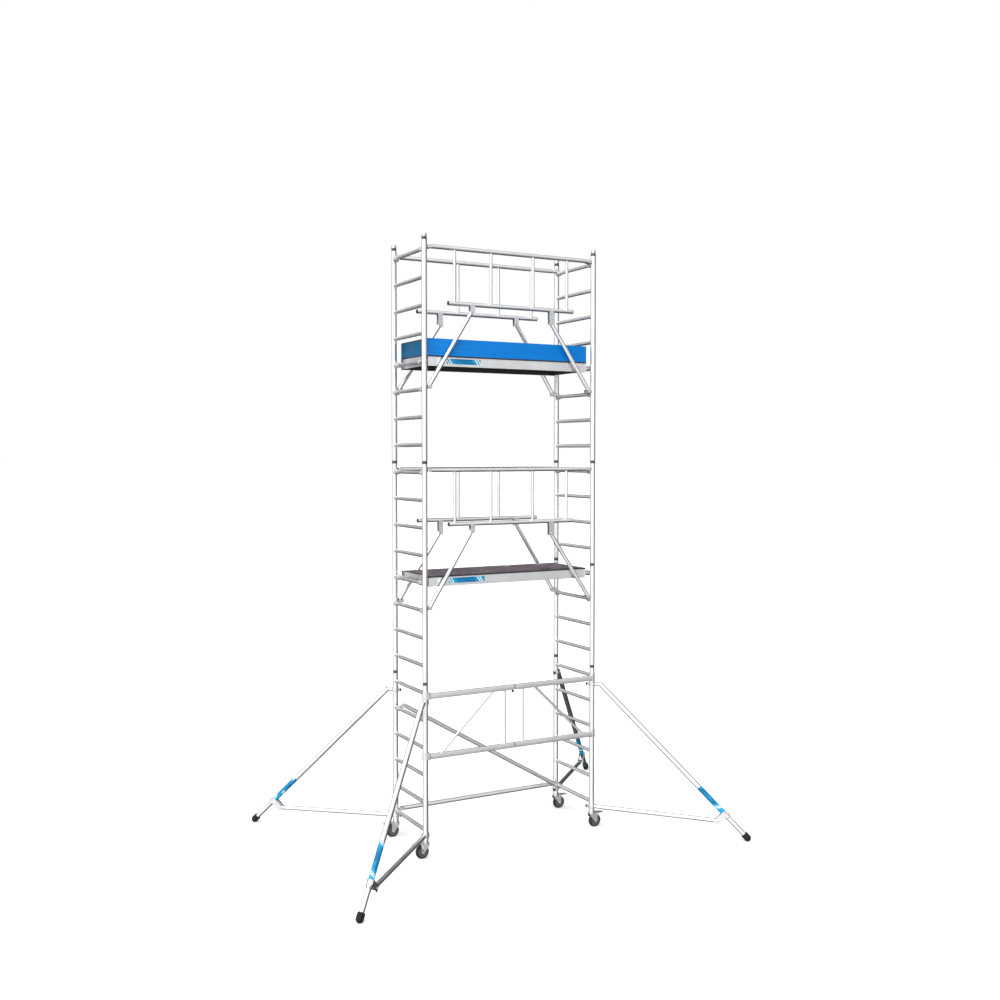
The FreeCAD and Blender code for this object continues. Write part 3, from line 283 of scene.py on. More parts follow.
def build(name, grids, material, body, replaces=()):
    """One piece from several grids of points, with doubles merged and faces turned outwards."""
    points, quads, corners, start = [], [], [], 0
    for grid, places, closed_rows, closed_columns in grids:
        faces, rows, columns = faces_of(grid, closed_rows, closed_columns)
        points.append(grid.reshape(-1, 3))
        quads.append(faces + start)
        corners.append(places[rows, columns].reshape(-1, 2))
        start += grid.shape[0] * grid.shape[1]
    mesh = bpy.data.meshes.new(name)
    mesh.from_pydata(np.concatenate(points).tolist(), [], np.concatenate(quads).tolist())
    layer = mesh.uv_layers.new(name="UVMap")
    layer.data.foreach_set("uv", np.concatenate(corners).astype(np.float32).ravel())
    form = bmesh.new()
    form.from_mesh(mesh)
    bmesh.ops.remove_doubles(form, verts=form.verts, dist=1e-6)
    bmesh.ops.recalc_face_normals(form, faces=form.faces)
    form.to_mesh(mesh)
    form.free()
    return finished(name, mesh, [material], body, replaces)


def finished(name, mesh, materials, body, replaces=()):
    """A mesh as a piece of the tower: smooth with its sharper edges kept, painted, riding on its body."""
    mesh.shade_smooth()
    mesh.set_sharp_from_angle(angle=math.radians(CREASE))
    mesh.materials.clear()
    for material in materials:
        mesh.materials.append(material)
    piece = bpy.data.objects.new(name, mesh)
    bpy.context.scene.collection.objects.link(piece)
    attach(piece, body)
    if replaces:
        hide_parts(*replaces)
    return piece


def rung_height(number):
    return RUNG_LOW + RUNG_PITCH * number


tube_aluminium = drawn_metal("drawn aluminium", (0.88, 0.89, 0.90), (0.76, 0.77, 0.78), 0.24, 0.42)
weld_aluminium = weld_metal("weld aluminium")
on_stile = on_tube(Z_AXIS, STILE_RADIUS)
for name, (side, low, high, first, count) in LADDER_FRAMES.items():
    grids = [tube((side * STILE_X, y, low), (side * STILE_X, y, high), STILE_RADIUS, sides=56)
             for y in (-STILE_Y, STILE_Y)]
    beads = []
    for number in range(first, first + count):
        front = np.array([side * STILE_X, -STILE_Y, rung_height(number)])
        back = front * (1, -1, 1)
        grids.append(bar(front, back, RUNG_RADIUS, WALL, on_stile, on_stile, 6 * RUNG_RIBS, RUNG_RIBS))
        beads += [bead(front, Y_AXIS, RUNG_RADIUS, on_stile), bead(back, -Y_AXIS, RUNG_RADIUS, on_stile)]
    build(name + "_tubes", grids, tube_aluminium, "tower", [name])
    build(name + "_welds", beads, weld_aluminium, "tower")


# ================================================================ frame joints
# Each stile ends in a spigot, a thinner tube riveted inside it. The next stile slides over it and
# stands on a dark moulded collar. The four topmost spigots stay free.
JOINTS = {-1: (1.595, 3.595, 5.595), 1: (1.595, 2.595, 3.595, 5.595)}
COLLAR_HALF = 0.014
RIVET_DROP = 0.045
SPIGOT_PROFILE = [(-0.120, 0.0213), (-0.1184, 0.0229), (0.0278, 0.0229), (0.0282, 0.0225), (0.0535, 0.0225),
                  (0.0552, 0.0219), (0.0560, 0.0209), (0.0560, 0.0199), (-0.120, 0.0199)]


def moulded(name, light, dark, smooth, rough, grain=420.0, depth=0.25):
    """Moulded plastic: a fine spark-eroded grain, faint flow marks and slightly greyed patches."""
    material, tree = new_finish(name, 0.0, 0.45)
    where = place_of(tree)
    skin = noise(tree, where, grain, 3.0)
    flow = noise(tree, where, 24.0, 4.0)
    dust = spread(tree, noise(tree, where, 75.0, 5.0), 0.52, 0.72, 0.0, 0.5)
    tone = blend(tree, spread(tree, flow, 0.3, 0.7, 0.0, 1.0), dark, light)
    tone = blend(tree, dust, tone, [1.5 * c + 0.01 for c in light])
    dusty = spread(tree, dust, 0.0, 0.5, 0.0, 0.10)
    gloss = sum_of(tree, spread(tree, skin, 0.3, 0.7, smooth, rough), dusty)
    return dressed(material, tone, gloss, sum_of(tree, skin, flow), depth, 0.0003)


def plated_steel(name, bright, dull, smooth, rough):
    """Zinc plate: a fine blue-white spangle, a few darker stains, and rubbed edges."""
    material, tree = new_finish(name, 1.0)
    where = place_of(tree)
    spangle = node(tree, "TexVoronoi", Vector=where, Scale=520.0).outputs["Distance"]
    stain = noise(tree, where, 30.0, 5.0)
    grain = noise(tree, where, 1400.0, 2.0)
    tone = blend(tree, spread(tree, stain, 0.35, 0.7, 0.0, 1.0), bright, dull)
    tone = blend(tree, spread(tree, spangle, 0.2, 0.8, 0.0, 0.22), tone, (0.82, 0.84, 0.88))
    gloss = spread(tree, sum_of(tree, stain, spangle), 0.5, 1.5, smooth, rough)
    return dressed(material, tone, gloss, sum_of(tree, grain, spangle), 0.12, 0.0003)


black_plastic = moulded("black plastic", (0.030, 0.031, 0.034), (0.017, 0.017, 0.019), 0.30, 0.46)
collar_plastic = moulded("collar plastic", (0.075, 0.077, 0.082), (0.045, 0.046, 0.050), 0.20, 0.34)
zinc_steel = plated_steel("zinc plated steel", (0.72, 0.74, 0.76), (0.56, 0.57, 0.58), 0.24, 0.44)

spigot_grids = []
collar_grids = []
rivet_grids = []
COLLAR_PROFILE = [(0.0, 0.0229), (0.0, 0.0236), (0.0012, 0.0242), (0.0098, 0.0242), (0.0106, 0.0236),
                  (0.0174, 0.0236), (0.0182, 0.0242), (0.0268, 0.0242), (0.0280, 0.0236), (0.0280, 0.0229)]
RIVET_DOME = [(-0.001, 0.0), (-0.001, 0.0060), (0.0, 0.0065), (0.0011, 0.0060), (0.0020, 0.0042),
              (0.0025, 0.0)]
for side, heights in JOINTS.items():
    for height in heights:
        for y in (-STILE_Y, STILE_Y):
            foot = np.array([side * STILE_X, y, height - COLLAR_HALF])
            spigot_grids.append(lathe(foot, foot + Z_AXIS, SPIGOT_PROFILE, 48))
            collar_grids.append(lathe(foot, foot + Z_AXIS, COLLAR_PROFILE, 56))
            for face in (-1, 1):
                seat = foot + (face * (STILE_RADIUS - 0.0004), 0, COLLAR_HALF - RIVET_DROP)
                rivet_grids.append(lathe(seat, seat + (face, 0, 0), RIVET_DOME, 16, False))
spigot_aluminium = drawn_metal("spigot aluminium", (0.70, 0.71, 0.72), (0.55, 0.56, 0.57), 0.30, 0.48)
build("joint_spigots", spigot_grids, spigot_aluminium, "tower", ["spigots"])
build("joint_collars", collar_grids, collar_plastic, "tower", ["spigot_collars"])
build("joint_rivets", rivet_grids, zinc_steel, "tower", ["spigot_rivets"])


# ================================================================ castors
# A steel stem sits in each base stile. The pressed fork swivels under it on a ball ring and trails its
# rubber wheel, and a pedal on the fork presses a brake shoe onto the tyre.
PLACES = {"front_left": (-1, -1), "front_right": (1, -1), "back_left": (-1, 1), "back_right": (1, 1)}
WHEEL_CENTRE = np.array([0.035, 0.0, 0.0625])
TYRE_HALF = 0.017
HUB_SPOKES = 8
FLATNESS = 1.0                # degrees between faces that are joined into one
SHARE = 0.30                  # of the shortest neighbouring edge, the most that a rounding takes


def softened(name, cad_node, width, materials, second=None):
    """A casting or pressing: a copy of the CAD skin with its points merged and its flat faces joined. A bevel
    rounds each sharp edge by width, or by a share of the shortest edge that meets it. second tells from a
    face's middle whether it takes the second material."""
    mesh = frame["nodes"][cad_node].data.copy()
    form = bmesh.new()
    form.from_mesh(mesh)
    bmesh.ops.remove_doubles(form, verts=form.verts, dist=2e-6)
    bmesh.ops.dissolve_limit(form, angle_limit=math.radians(FLATNESS), verts=form.verts, edges=form.edges)
    form.to_mesh(mesh)
    form.free()
    piece = finished(name, mesh, materials, frame["nodes"][cad_node]["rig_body"], [cad_node])
    if second:
        for face in mesh.polygons:
            face.material_index = int(second(face.center))
    else:
        mesh.polygons.foreach_set("material_index", [0] * len(mesh.polygons))
    ends = np.empty(2 * len(mesh.edges), int)
    mesh.edges.foreach_get("vertices", ends)
    ends = ends.reshape(-1, 2)
    points = np.empty(3 * len(mesh.vertices))
    mesh.vertices.foreach_get("co", points)
    points = points.reshape(-1, 3)
    lengths = np.linalg.norm(points[ends[:, 0]] - points[ends[:, 1]], axis=1)
    shortest = np.full(len(points), width)
    np.minimum.at(shortest, ends.ravel(), np.repeat(lengths, 2) * SHARE)
    sharp = np.zeros(len(ends), bool)
    mesh.attributes["sharp_edge"].data.foreach_get("value", sharp)
    weights = mesh.attributes.new("bevel_weight_edge", "FLOAT", "EDGE")
    weights.data.foreach_set("value", (sharp * shortest[ends].min(1) / width).astype(np.float32))
    rounding = piece.modifiers.new("rounding", "BEVEL")
    rounding.width = width
    rounding.segments = 3
    rounding.limit_method = "WEIGHT"
    rounding.use_clamp_overlap = False
    rounding.harden_normals = True
    return piece


def placed(grid, degrees, x=0.0, y=0.0):
    """A grid turned about the Z axis, then moved along the floor."""
    turn = math.radians(degrees)
    spin = np.array([[math.cos(turn), -math.sin(turn), 0], [math.sin(turn), math.cos(turn), 0], [0, 0, 1]])
    return (grid[0] @ spin.T + (x, y, 0.0),) + tuple(grid[1:])


def all_placed(grids, degrees, x=0.0, y=0.0):
    return [placed(grid, degrees, x, y) for grid in grids]


def rubber(name, light, dark, grain):
    """Rubber: matt, with a fine tooth and a bloom of dust."""
    material, tree = new_finish(name, 0.0, 0.18)
    where = place_of(tree)
    tooth = noise(tree, where, grain, 4.0)
    bloom = noise(tree, where, 42.0, 5.0)
    tone = blend(tree, spread(tree, bloom, 0.35, 0.7, 0.0, 1.0), dark, light)
    gloss = spread(tree, tooth, 0.3, 0.7, 0.58, 0.80)
    return dressed(material, tone, gloss, sum_of(tree, tooth, bloom), 0.35, 0.0005)


def tread(along, radius, angle):
    """Tyre blocks: shallow cross grooves in the tread, made by a steep cosine of the angle."""
    groove = np.clip(np.cos(36 * angle) * 6.0 - 5.0, 0.0, 1.0)
    middle = np.clip((radius - 0.0600) / 0.0015, 0.0, 1.0)
    return along, radius - 0.0011 * groove * middle


def spokes(along, radius, angle):
    """Wheel web: ribs that stand out of it between hub and rim, by a rounded cosine of the angle."""
    rib = np.clip(np.cos(HUB_SPOKES * angle) * 2.6 - 1.2, 0.0, 1.0)
    web = np.clip((radius - 0.0165) / 0.002, 0.0, 1.0) * np.clip((0.0415 - radius) / 0.002, 0.0, 1.0)
    return along + np.sign(along) * 0.0052 * rib * web, radius


TYRE_PROFILE = [(-0.0150, 0.0470), (-0.0168, 0.0500), (-0.0170, 0.0545), (-0.0160, 0.0582), (-0.0138, 0.0604),
                (-0.0105, 0.0617), (-0.0060, 0.0624), (0.0, 0.0625), (0.0060, 0.0624), (0.0105, 0.0617),
                (0.0138, 0.0604), (0.0160, 0.0582), (0.0170, 0.0545), (0.0168, 0.0500), (0.0150, 0.0470)]
HALF_WEB = [(0.0242, 0.00605), (0.0242, 0.0130), (0.0234, 0.0142), (0.0120, 0.0152), (0.0064, 0.0168),
            (0.0050, 0.0195), (0.0048, 0.0250), (0.0048, 0.0310), (0.0050, 0.0365), (0.0062, 0.0400),
            (0.0120, 0.0418), (0.0142, 0.0428), (0.0150, 0.0445), (0.0150, 0.0470)]
PEDAL_RIB = [(0.0, 0.0), (0.0003, 0.0009), (0.0009, 0.0012), (0.0351, 0.0012), (0.0357, 0.0009),
             (0.0360, 0.0)]
WEB_PROFILE = [(-s, r) for s, r in HALF_WEB] + HALF_WEB[::-1]
tyre_rubber = rubber("tyre rubber", (0.030, 0.030, 0.031), (0.016, 0.016, 0.017), 700.0)
hub_plastic = moulded("hub plastic", (0.115, 0.120, 0.125), (0.080, 0.083, 0.088), 0.34, 0.50)
pedal_steel = plated_steel("pedal steel", (0.60, 0.61, 0.62), (0.46, 0.47, 0.48), 0.30, 0.48)
wheel_line = (WHEEL_CENTRE, WHEEL_CENTRE + Y_AXIS)
for place, (sx, sy) in PLACES.items():
    heading = 0 if sx > 0 else 180
    spot = (heading, sx * STILE_X, sy * STILE_Y)
    body = "castor_wheel_" + place
    tyre = lathe(*wheel_line, TYRE_PROFILE, 216, True, tread)
    build("castor_tyre_" + place, [placed(tyre, *spot)], tyre_rubber, body, [body])
    web = lathe(*wheel_line, WEB_PROFILE, 96, True, spokes)
    build("castor_hub_" + place, [placed(web, *spot)], hub_plastic, body)
    softened("castor_forks_" + place, "castor_fork_" + place, 0.0012, [zinc_steel])
    softened("castor_pedal_" + place, "castor_brake_" + place, 0.0010, [pedal_steel])
    ribs = []
    for step in range(5):
        near = np.array([0.086 + 0.008 * step, -0.018, 0.1408 - 0.00082 * step])
        far = near * (1, -1, 1)
        ribs.append(placed(lathe(near, far, PEDAL_RIB, 12, False), *spot))
    build("castor_pedal_ribs_" + place, ribs, pedal_steel, "castor_brake_" + place)
softened("castor_stem_set", "castor_stems", 0.0008, [zinc_steel])


# ================================================================ stabilisers
# Four outriggers at 45 degrees: a sloping leg and a level strut, each clamped round the stile by a collar
# with a star-knob screw. A thinner tube slides in the leg and ends in a rubber foot.
UPPER_CLAMP = 1.42
LOWER_CLAMP = 0.205
LEG_TOP = np.array([0.085, 0.0, UPPER_CLAMP])
FOOT_CENTRE = np.array([1.507, 0.0, 0.0325])
LEG_RUN = unit(FOOT_CENTRE - LEG_TOP)
LEG_SIDE = np.array([-LEG_RUN[2], 0.0, LEG_RUN[0]])
LEG_END = 1.325               # from the stile along the floor
ARM_RADIUS = 0.025
FOOT_TUBE_RADIUS = 0.0225
STRUT_OUT = np.array([1.222, 0.0, 0.172])


def leg_point(reach):
    """Point on the leg's axis at a distance from the stile along the floor."""
    return LEG_TOP + LEG_RUN * ((reach - LEG_TOP[0]) / LEG_RUN[0])


def round_bar(start, end, radius, sides=24, edge=0.0008):
    """Solid round bar with chamfered ends, closed at the middle of each end."""
    run = length_of(start, end)
    profile = [(0, 0), (0, radius - edge), (edge, radius), (run - edge, radius), (run, radius - edge),
               (run, 0)]
    return lathe(start, end, profile, sides, False)


def threaded(start, end, radius, pitch=0.0015):
    """Screw: the radius steps up and down once in each pitch."""
    run = length_of(start, end)
    crests = np.arange(0.0, run, pitch / 2)
    radii = radius - 0.0005 * (np.arange(len(crests)) % 2)
    profile = [(0.0, 0.0)] + list(zip(crests, radii)) + [(run, radius - 0.0005), (run, 0.0)]
    return lathe(start, end, profile, 20, False)


def star(along, radius, angle):
    """Star knob: five lobes, by a cosine of five times the angle."""
    return along, radius * (1.0 + 0.15 * np.cos(5 * angle))


def plate(corners, face, thick, edge=0.0008):
    """Flat plate with four rounded corners: an outline drawn in by edge at both faces and closed at its
    middle."""
    corners = np.asarray(corners, float)
    middle = corners.mean(0)
    outline = []
    for before, here, after in zip(np.roll(corners, 1, 0), corners, np.roll(corners, -1, 0)):
        back, ahead = unit(before - here), unit(after - here)
        for share in (0.0, 0.25, 0.5, 0.75, 1.0):
            weight = 1 - share
            outline.append(here + 0.008 * (back * weight ** 2 + ahead * share ** 2))
    outline = np.array(outline)
    inward = unit_rows(middle - outline)
    rings = [middle + 0 * outline, outline + inward * edge, outline, outline, outline + inward * edge,
             middle + 0 * outline]
    lifts = [0.0, 0.0, edge, thick - edge, thick, thick]
    points = np.array([ring + np.asarray(face, float) * lift for ring, lift in zip(rings, lifts)])
    places = np.zeros((len(rings), len(outline) + 1, 2))
    return points, places, False, True


def unit_rows(vectors):
    return vectors / np.linalg.norm(vectors, axis=-1, keepdims=True)


def brass(name):
    """Turned brass: rings of the tool and a warm tarnish."""
    material, tree = new_finish(name, 1.0)
    where = place_of(tree)
    tarnish = noise(tree, where, 180.0, 4.0)
    tone = blend(tree, tarnish, (0.62, 0.44, 0.16), (0.80, 0.63, 0.30))
    return dressed(material, tone, spread(tree, tarnish, 0.3, 0.7, 0.22, 0.42), tarnish, 0.15, 0.0003)


def striped_print(name, length, thick, slant):
    """Printed vinyl: a blue field with a darker middle block, and two slanted white stripes near each end.
    The distance to the nearer end, plus the slant times the height, places the stripes."""
    material, tree = new_finish(name, 0.0, 0.25)
    apart = node(tree, "SeparateXYZ", Vector=node(tree, "TexCoord").outputs["UV"])
    along, across = apart.outputs[1], apart.outputs[0]
    leaning = sum_of(tree, along, sum_of(tree, across, slant, "MULTIPLY"))
    from_end = sum_of(tree, length / 2, node(tree, "Math", {"operation": "ABSOLUTE"},
                      i0=sum_of(tree, leaning, length / 2, "SUBTRACT")).outputs[0], "SUBTRACT")
    field = noise(tree, place_of(tree, "UV", (30.0, 12.0, 1.0)), 1.0, 3.0)
    patchy = spread(tree, field, 0.4, 0.6, 0.0, 1.0)
    blue = blend(tree, patchy, (0.001, 0.110, 0.280), (0.003, 0.230, 0.460))
    inside = spread(tree, from_end, 4.2 * thick, 4.3 * thick, 0.0, 1.0)
    tone = blend(tree, inside, (0.010, 0.300, 0.560), blue)
    for step in (0.6, 1.9):
        begun = spread(tree, from_end, (step - 0.02) * thick, step * thick, 0.0, 1.0)
        ended = spread(tree, from_end, (step + 0.6) * thick, (step + 0.62) * thick, 0.0, 1.0)
        band = sum_of(tree, begun, ended, "SUBTRACT")
        tone = blend(tree, band, tone, (0.86, 0.88, 0.90))
    grain = noise(tree, place_of(tree), 260.0, 3.0)
    return dressed(material, tone, spread(tree, grain, 0.3, 0.7, 0.26, 0.40), grain, 0.08, 0.0002)


STICKER_START, STICKER_END = leg_point(1.047), leg_point(1.280)
leg_print = striped_print("leg print", length_of(STICKER_START, STICKER_END), 0.015, 0.70)
plunger_brass = brass("plunger brass")
foot_rubber = rubber("foot rubber", (0.022, 0.022, 0.022), (0.011, 0.011, 0.011), 420.0)

clamp_grids = []
knob_grids = []
screw_grids = []
for height, stub_end in ((UPPER_CLAMP, 0.089), (LOWER_CLAMP, 0.059)):
    foot = np.array([0.0, 0.0, height - 0.019])
    ring = [(0.0, 0.0253), (0.0, 0.0310), (0.0013, 0.0323), (0.0367, 0.0323), (0.0380, 0.0310),
            (0.0380, 0.0253)]
    clamp_grids.append(lathe(foot, foot + Z_AXIS, ring, 56))
    clamp_grids.append(round_bar((0.0285, 0, height), (stub_end, 0, height), 0.017, 32))
    clamp_grids.append(round_bar((-0.0285, 0, height), (-0.038, 0, height), 0.011, 24, 0.0014))
    for lug in (-1, 1):
        ear = np.array([0.006, lug * 0.0335, height])
        clamp_grids.append(round_bar(ear - 0.012 * X_AXIS, ear, 0.0052, 6, 0.0006))
    screw_grids.append(threaded((-0.030, 0, height), (-0.046, 0, height), 0.005))
    knob = [(0.0, 0.0), (0.0, 0.0070), (0.0006, 0.0100), (0.0020, 0.0132), (0.0045, 0.0146), (0.0095, 0.0146),
            (0.0122, 0.0134), (0.0136, 0.0105), (0.0140, 0.0060), (0.0140, 0.0)]
    knob_grids.append(lathe((-0.045, 0, height), (-0.046, 0, height), knob, 50, False, star))

fork_axis = STRUT_OUT - 0.026 * LEG_SIDE
fork_top = fork_axis + 0.142 * LEG_SIDE
corner = 0.026 * LEG_RUN
bracket_grids = [round_bar((1.216, -0.033, 0.172), (1.216, 0.033, 0.172), 0.005, 20)]
for face in (-1, 1):
    outline = np.array([fork_axis - corner, fork_axis + corner, fork_top + corner, fork_top - corner])
    bracket_grids.append(plate(outline + face * ARM_RADIUS * Y_AXIS, face * Y_AXIS, 0.004))
    head = np.array([1.216, face * 0.029, 0.172])
    bracket_grids.append(round_bar(head, head + face * 0.006 * Y_AXIS, 0.0092, 6, 0.0007))
    rivet_seat = fork_top - 0.042 * LEG_SIDE + face * (ARM_RADIUS + 0.004) * Y_AXIS
    bracket_grids.append(lathe(rivet_seat, rivet_seat + face * Y_AXIS, RIVET_DOME, 16, False))
plunger_foot = leg_point(1.309) + 0.024 * LEG_SIDE
PLUNGER = [(0.0, 0.0), (0.0, 0.0080), (0.0062, 0.0080), (0.0070, 0.0072), (0.0078, 0.0050), (0.0092, 0.0050),
           (0.0098, 0.0072), (0.0106, 0.0080), (0.0160, 0.0080), (0.0170, 0.0068), (0.0170, 0.0)]
arm_grids = [
    tube(LEG_TOP - 0.010 * LEG_RUN, leg_point(LEG_END), ARM_RADIUS, sides=56),
    tube((0.059, 0, LOWER_CLAMP), STRUT_OUT, 0.020, sides=44),
]
sleeve_grids = [tube(leg_point(LEG_END - 0.0025), leg_point(LEG_END) + 0.004 * LEG_RUN, 0.0248, 0.0023, 48)]
print_grid = tube(STICKER_START, STICKER_END, ARM_RADIUS + 0.00015, 0.0003, 56, 0.0001)
foot_end = FOOT_CENTRE - 0.008 * LEG_RUN
foot_grid = tube(leg_point(LEG_END) - 0.33 * LEG_RUN, foot_end, FOOT_TUBE_RADIUS, 0.0025, 48)
dome = np.linspace(0.0, math.pi / 2, 12)
GROOVE = ((-0.0018, 0.0), (-0.0010, 0.0012), (0.0010, 0.0012), (0.0018, 0.0))
BOOT = [(0.0, 0.0226), (0.0, 0.0300), (0.0012, 0.0322), (0.0030, 0.0330)]
for groove in (0.012, 0.022, 0.032):
    BOOT += [(groove + across, 0.0330 - sink) for across, sink in GROOVE]
BOOT += [(0.046 + 0.033 * math.sin(a), 0.033 * math.cos(a)) for a in dome]
BOOT += [(0.070, 0.0), (0.040, 0.0), (0.040, 0.0226)]
STABILISER_PARTS = (
    ("_clamps", clamp_grids, zinc_steel, "zinc_steel"),
    ("_screws", screw_grids, zinc_steel, "zinc_steel"),
    ("_knobs", knob_grids, black_plastic, "black_plastic"),
    ("_bracket", bracket_grids, zinc_steel, "zinc_steel"),
    ("_end_sleeve", sleeve_grids, black_plastic, "black_plastic"),
)
boot_grid = lathe(FOOT_CENTRE - 0.046 * LEG_RUN, FOOT_CENTRE, BOOT, 56)
boot_grid[0][..., 2] = np.maximum(boot_grid[0][..., 2], 0.0)
for place, (sx, sy) in PLACES.items():
    spot = (math.degrees(math.atan2(sy, sx)), sx * STILE_X, sy * STILE_Y)
    body = "stabiliser_" + place
    foot_body = "stabiliser_foot_" + place
    build(body + "_tubes", all_placed(arm_grids, *spot), tube_aluminium, body, [body])
    for part, grids, finish, slot in STABILISER_PARTS:
        build(body + part, all_placed(grids, *spot), finish, body)
    pull = lathe(plunger_foot, plunger_foot + LEG_SIDE, PLUNGER, 28, False)
    build(body + "_plunger", [placed(pull, *spot)], plunger_brass, body)
    build(body + "_print", [placed(print_grid, *spot)], leg_print, body)
    build(foot_body + "_tube", [placed(foot_grid, *spot)], tube_aluminium, foot_body, [foot_body])
    build("foot_boot_" + place, [placed(boot_grid, *spot)], foot_rubber, foot_body,
          ["foot_pad_" + place])


# ================================================================ folding base panel
# The front of the base: a guard panel in two halves that folds in the middle, made of flat oval rails with
# welded uprights and sloping bars, hinged on pins in clamps round the stiles. A ball knob locks it open.
PANEL_Y = -0.3755
PANEL_UPPER = 1.485
PANEL_LOWER = 0.935
RAIL_HEIGHT = 0.050
RAIL_DEPTH = 0.025
BAR_RADIUS = 0.012
END_PIN_X = 0.882
KNUCKLE = 0.009


def rounded_box(width, height, radius, steps=4):
    """Outline of a box section with rounded corners, as (across, up) pairs."""
    half = np.array([width / 2 - radius, height / 2 - radius])
    turn = np.linspace(0.0, math.pi / 2, steps)
    pairs = []
    for quarter, (sign_a, sign_b) in enumerate(((1, 1), (-1, 1), (-1, -1), (1, -1))):
        angle = turn + quarter * math.pi / 2
        corner = half * (sign_a, sign_b)
        pairs.append(corner + radius * np.stack([np.cos(angle), np.sin(angle)], -1))
    return np.concatenate(pairs)


def section(outline, wall, start, end, across, up):
    """Drawn section: an outline carried from start to end, and the same outline drawn in by the wall."""
    start, end = np.asarray(start, float), np.asarray(end, float)
    ahead = np.roll(outline, -1, 0) - np.roll(outline, 1, 0)
    inward = unit_rows(np.stack([-ahead[:, 1], ahead[:, 0]], -1))
    inner = outline + inward * wall
    rings = []
    for pairs, at in ((outline, start), (outline, end), (inner, end), (inner, start)):
        rings.append(at + pairs[:, :1] * np.asarray(across, float) + pairs[:, 1:] * np.asarray(up, float))
    steps = np.linalg.norm(np.roll(outline, -1, 0) - outline, axis=1)
    around = np.append(0.0, np.cumsum(steps))
    run = length_of(start, end)
    down = np.array([0.0, run, run, 0.0, 0.0])
    return np.array(rings), unrolled(around, down), True, True


rail_outline = rounded_box(RAIL_DEPTH, RAIL_HEIGHT, 0.006)
for side, name in ((-1, "fold_panel_left"), (1, "fold_panel_right")):
    grids = []
    beads = []
    for z in (PANEL_UPPER, PANEL_LOWER):
        start = (side * (KNUCKLE - 0.0005), PANEL_Y, z)
        end = (side * (END_PIN_X - KNUCKLE + 0.0005), PANEL_Y, z)
        grids.append(section(rail_outline, WALL, start, end, Y_AXIS, Z_AXIS))
        eye = np.array([side * END_PIN_X, PANEL_Y, z - RAIL_HEIGHT / 2])
        ring = [(0, 0.00505), (0, 0.0082), (0.0008, 0.009), (0.0492, 0.009), (0.05, 0.0082), (0.05, 0.00505)]
        grids.append(lathe(eye, eye + Z_AXIS, ring, 32))
    top = np.array([0.0, PANEL_Y, PANEL_UPPER])
    low = np.array([0.0, PANEL_Y, PANEL_LOWER])
    under, above = on_flat(-Z_AXIS, RAIL_HEIGHT / 2), on_flat(Z_AXIS, RAIL_HEIGHT / 2)
    slope = (0.753 - 0.235) / (PANEL_UPPER - PANEL_LOWER - RAIL_HEIGHT)
    reach = slope * RAIL_HEIGHT / 2
    for head_x, foot_x in ((0.098, 0.098), (0.235 - reach, 0.753 + reach)):
        head = top + (side * head_x, 0, 0)
        foot = low + (side * foot_x, 0, 0)
        grids.append(bar(head, foot, BAR_RADIUS, WALL, under, above, 32))
        beads.append(bead(head, foot - head, BAR_RADIUS, under, 0.0018))
        beads.append(bead(foot, head - foot, BAR_RADIUS, above, 0.0018))
    build(name + "_tubes", grids, tube_aluminium, "tower", [name])
    build(name + "_welds", beads, weld_aluminium, "tower")


def cast_metal(name, bright, dull):
    """Cast aluminium: a sandy skin, tumbled smoother and brighter on its high spots."""
    material, tree = new_finish(name, 1.0)
    where = place_of(tree)
    sand = noise(tree, where, 760.0, 4.0)
    pits = node(tree, "TexVoronoi", Vector=where, Scale=340.0).outputs["Distance"]
    cloud = noise(tree, where, 34.0, 4.0)
    tone = blend(tree, spread(tree, cloud, 0.3, 0.7, 0.0, 1.0), dull, bright)
    tone = blend(tree, spread(tree, pits, 0.0, 0.16, 0.45, 0.0), tone, (0.32, 0.32, 0.33))
    gloss = spread(tree, sand, 0.3, 0.7, 0.38, 0.62)
    return dressed(material, tone, gloss, sum_of(tree, sand, pits), 0.30, 0.0005)


cast_aluminium = cast_metal("cast aluminium", (0.74, 0.74, 0.75), (0.60, 0.60, 0.61))
latch_steel = plated_steel("latch steel", (0.34, 0.35, 0.36), (0.22, 0.23, 0.24), 0.30, 0.50)
softened("fold_hinge_set", "fold_hinges", 0.0022, [cast_aluminium])
LOCK_BALL = 0.012
ball_centre = np.array([-0.013, PANEL_Y, 1.445])
swell = np.linspace(-math.pi / 2, 1.15, 22)
ball = [(LOCK_BALL * (1 + math.sin(a)), LOCK_BALL * math.cos(a)) for a in swell]
ball += [(0.0248, 0.0048), (0.0262, 0.0040), (0.060, 0.0040), (0.060, 0.0)]
knob_gloss = moulded("ball knob", (0.020, 0.020, 0.022), (0.010, 0.010, 0.011), 0.10, 0.18, 300.0, 0.05)
lock = lathe(ball_centre - LOCK_BALL * Z_AXIS, ball_centre, ball, 40, False)
build("fold_lock_ball", [lock], knob_gloss, "fold_lock", ["fold_lock_knob"])


# ================================================================ braces at the back
# A level brace and a diagonal one: round tubes with a cast claw at each end. The claw drops over a rung and
# a sprung latch closes under it.
RAIL_RADIUS = 0.020
RAIL_END = 0.845
RAIL_RISE = 0.024
LEVEL_Y = 0.294
SLOPE_Y = 0.251


def in_latch(middle):
    """A claw's latch lies lower than its arms: more than 18 mm below the nearest rung's axis."""
    above = (middle.z - RUNG_LOW + RUNG_PITCH / 2) % RUNG_PITCH - RUNG_PITCH / 2
    return above < -0.0181


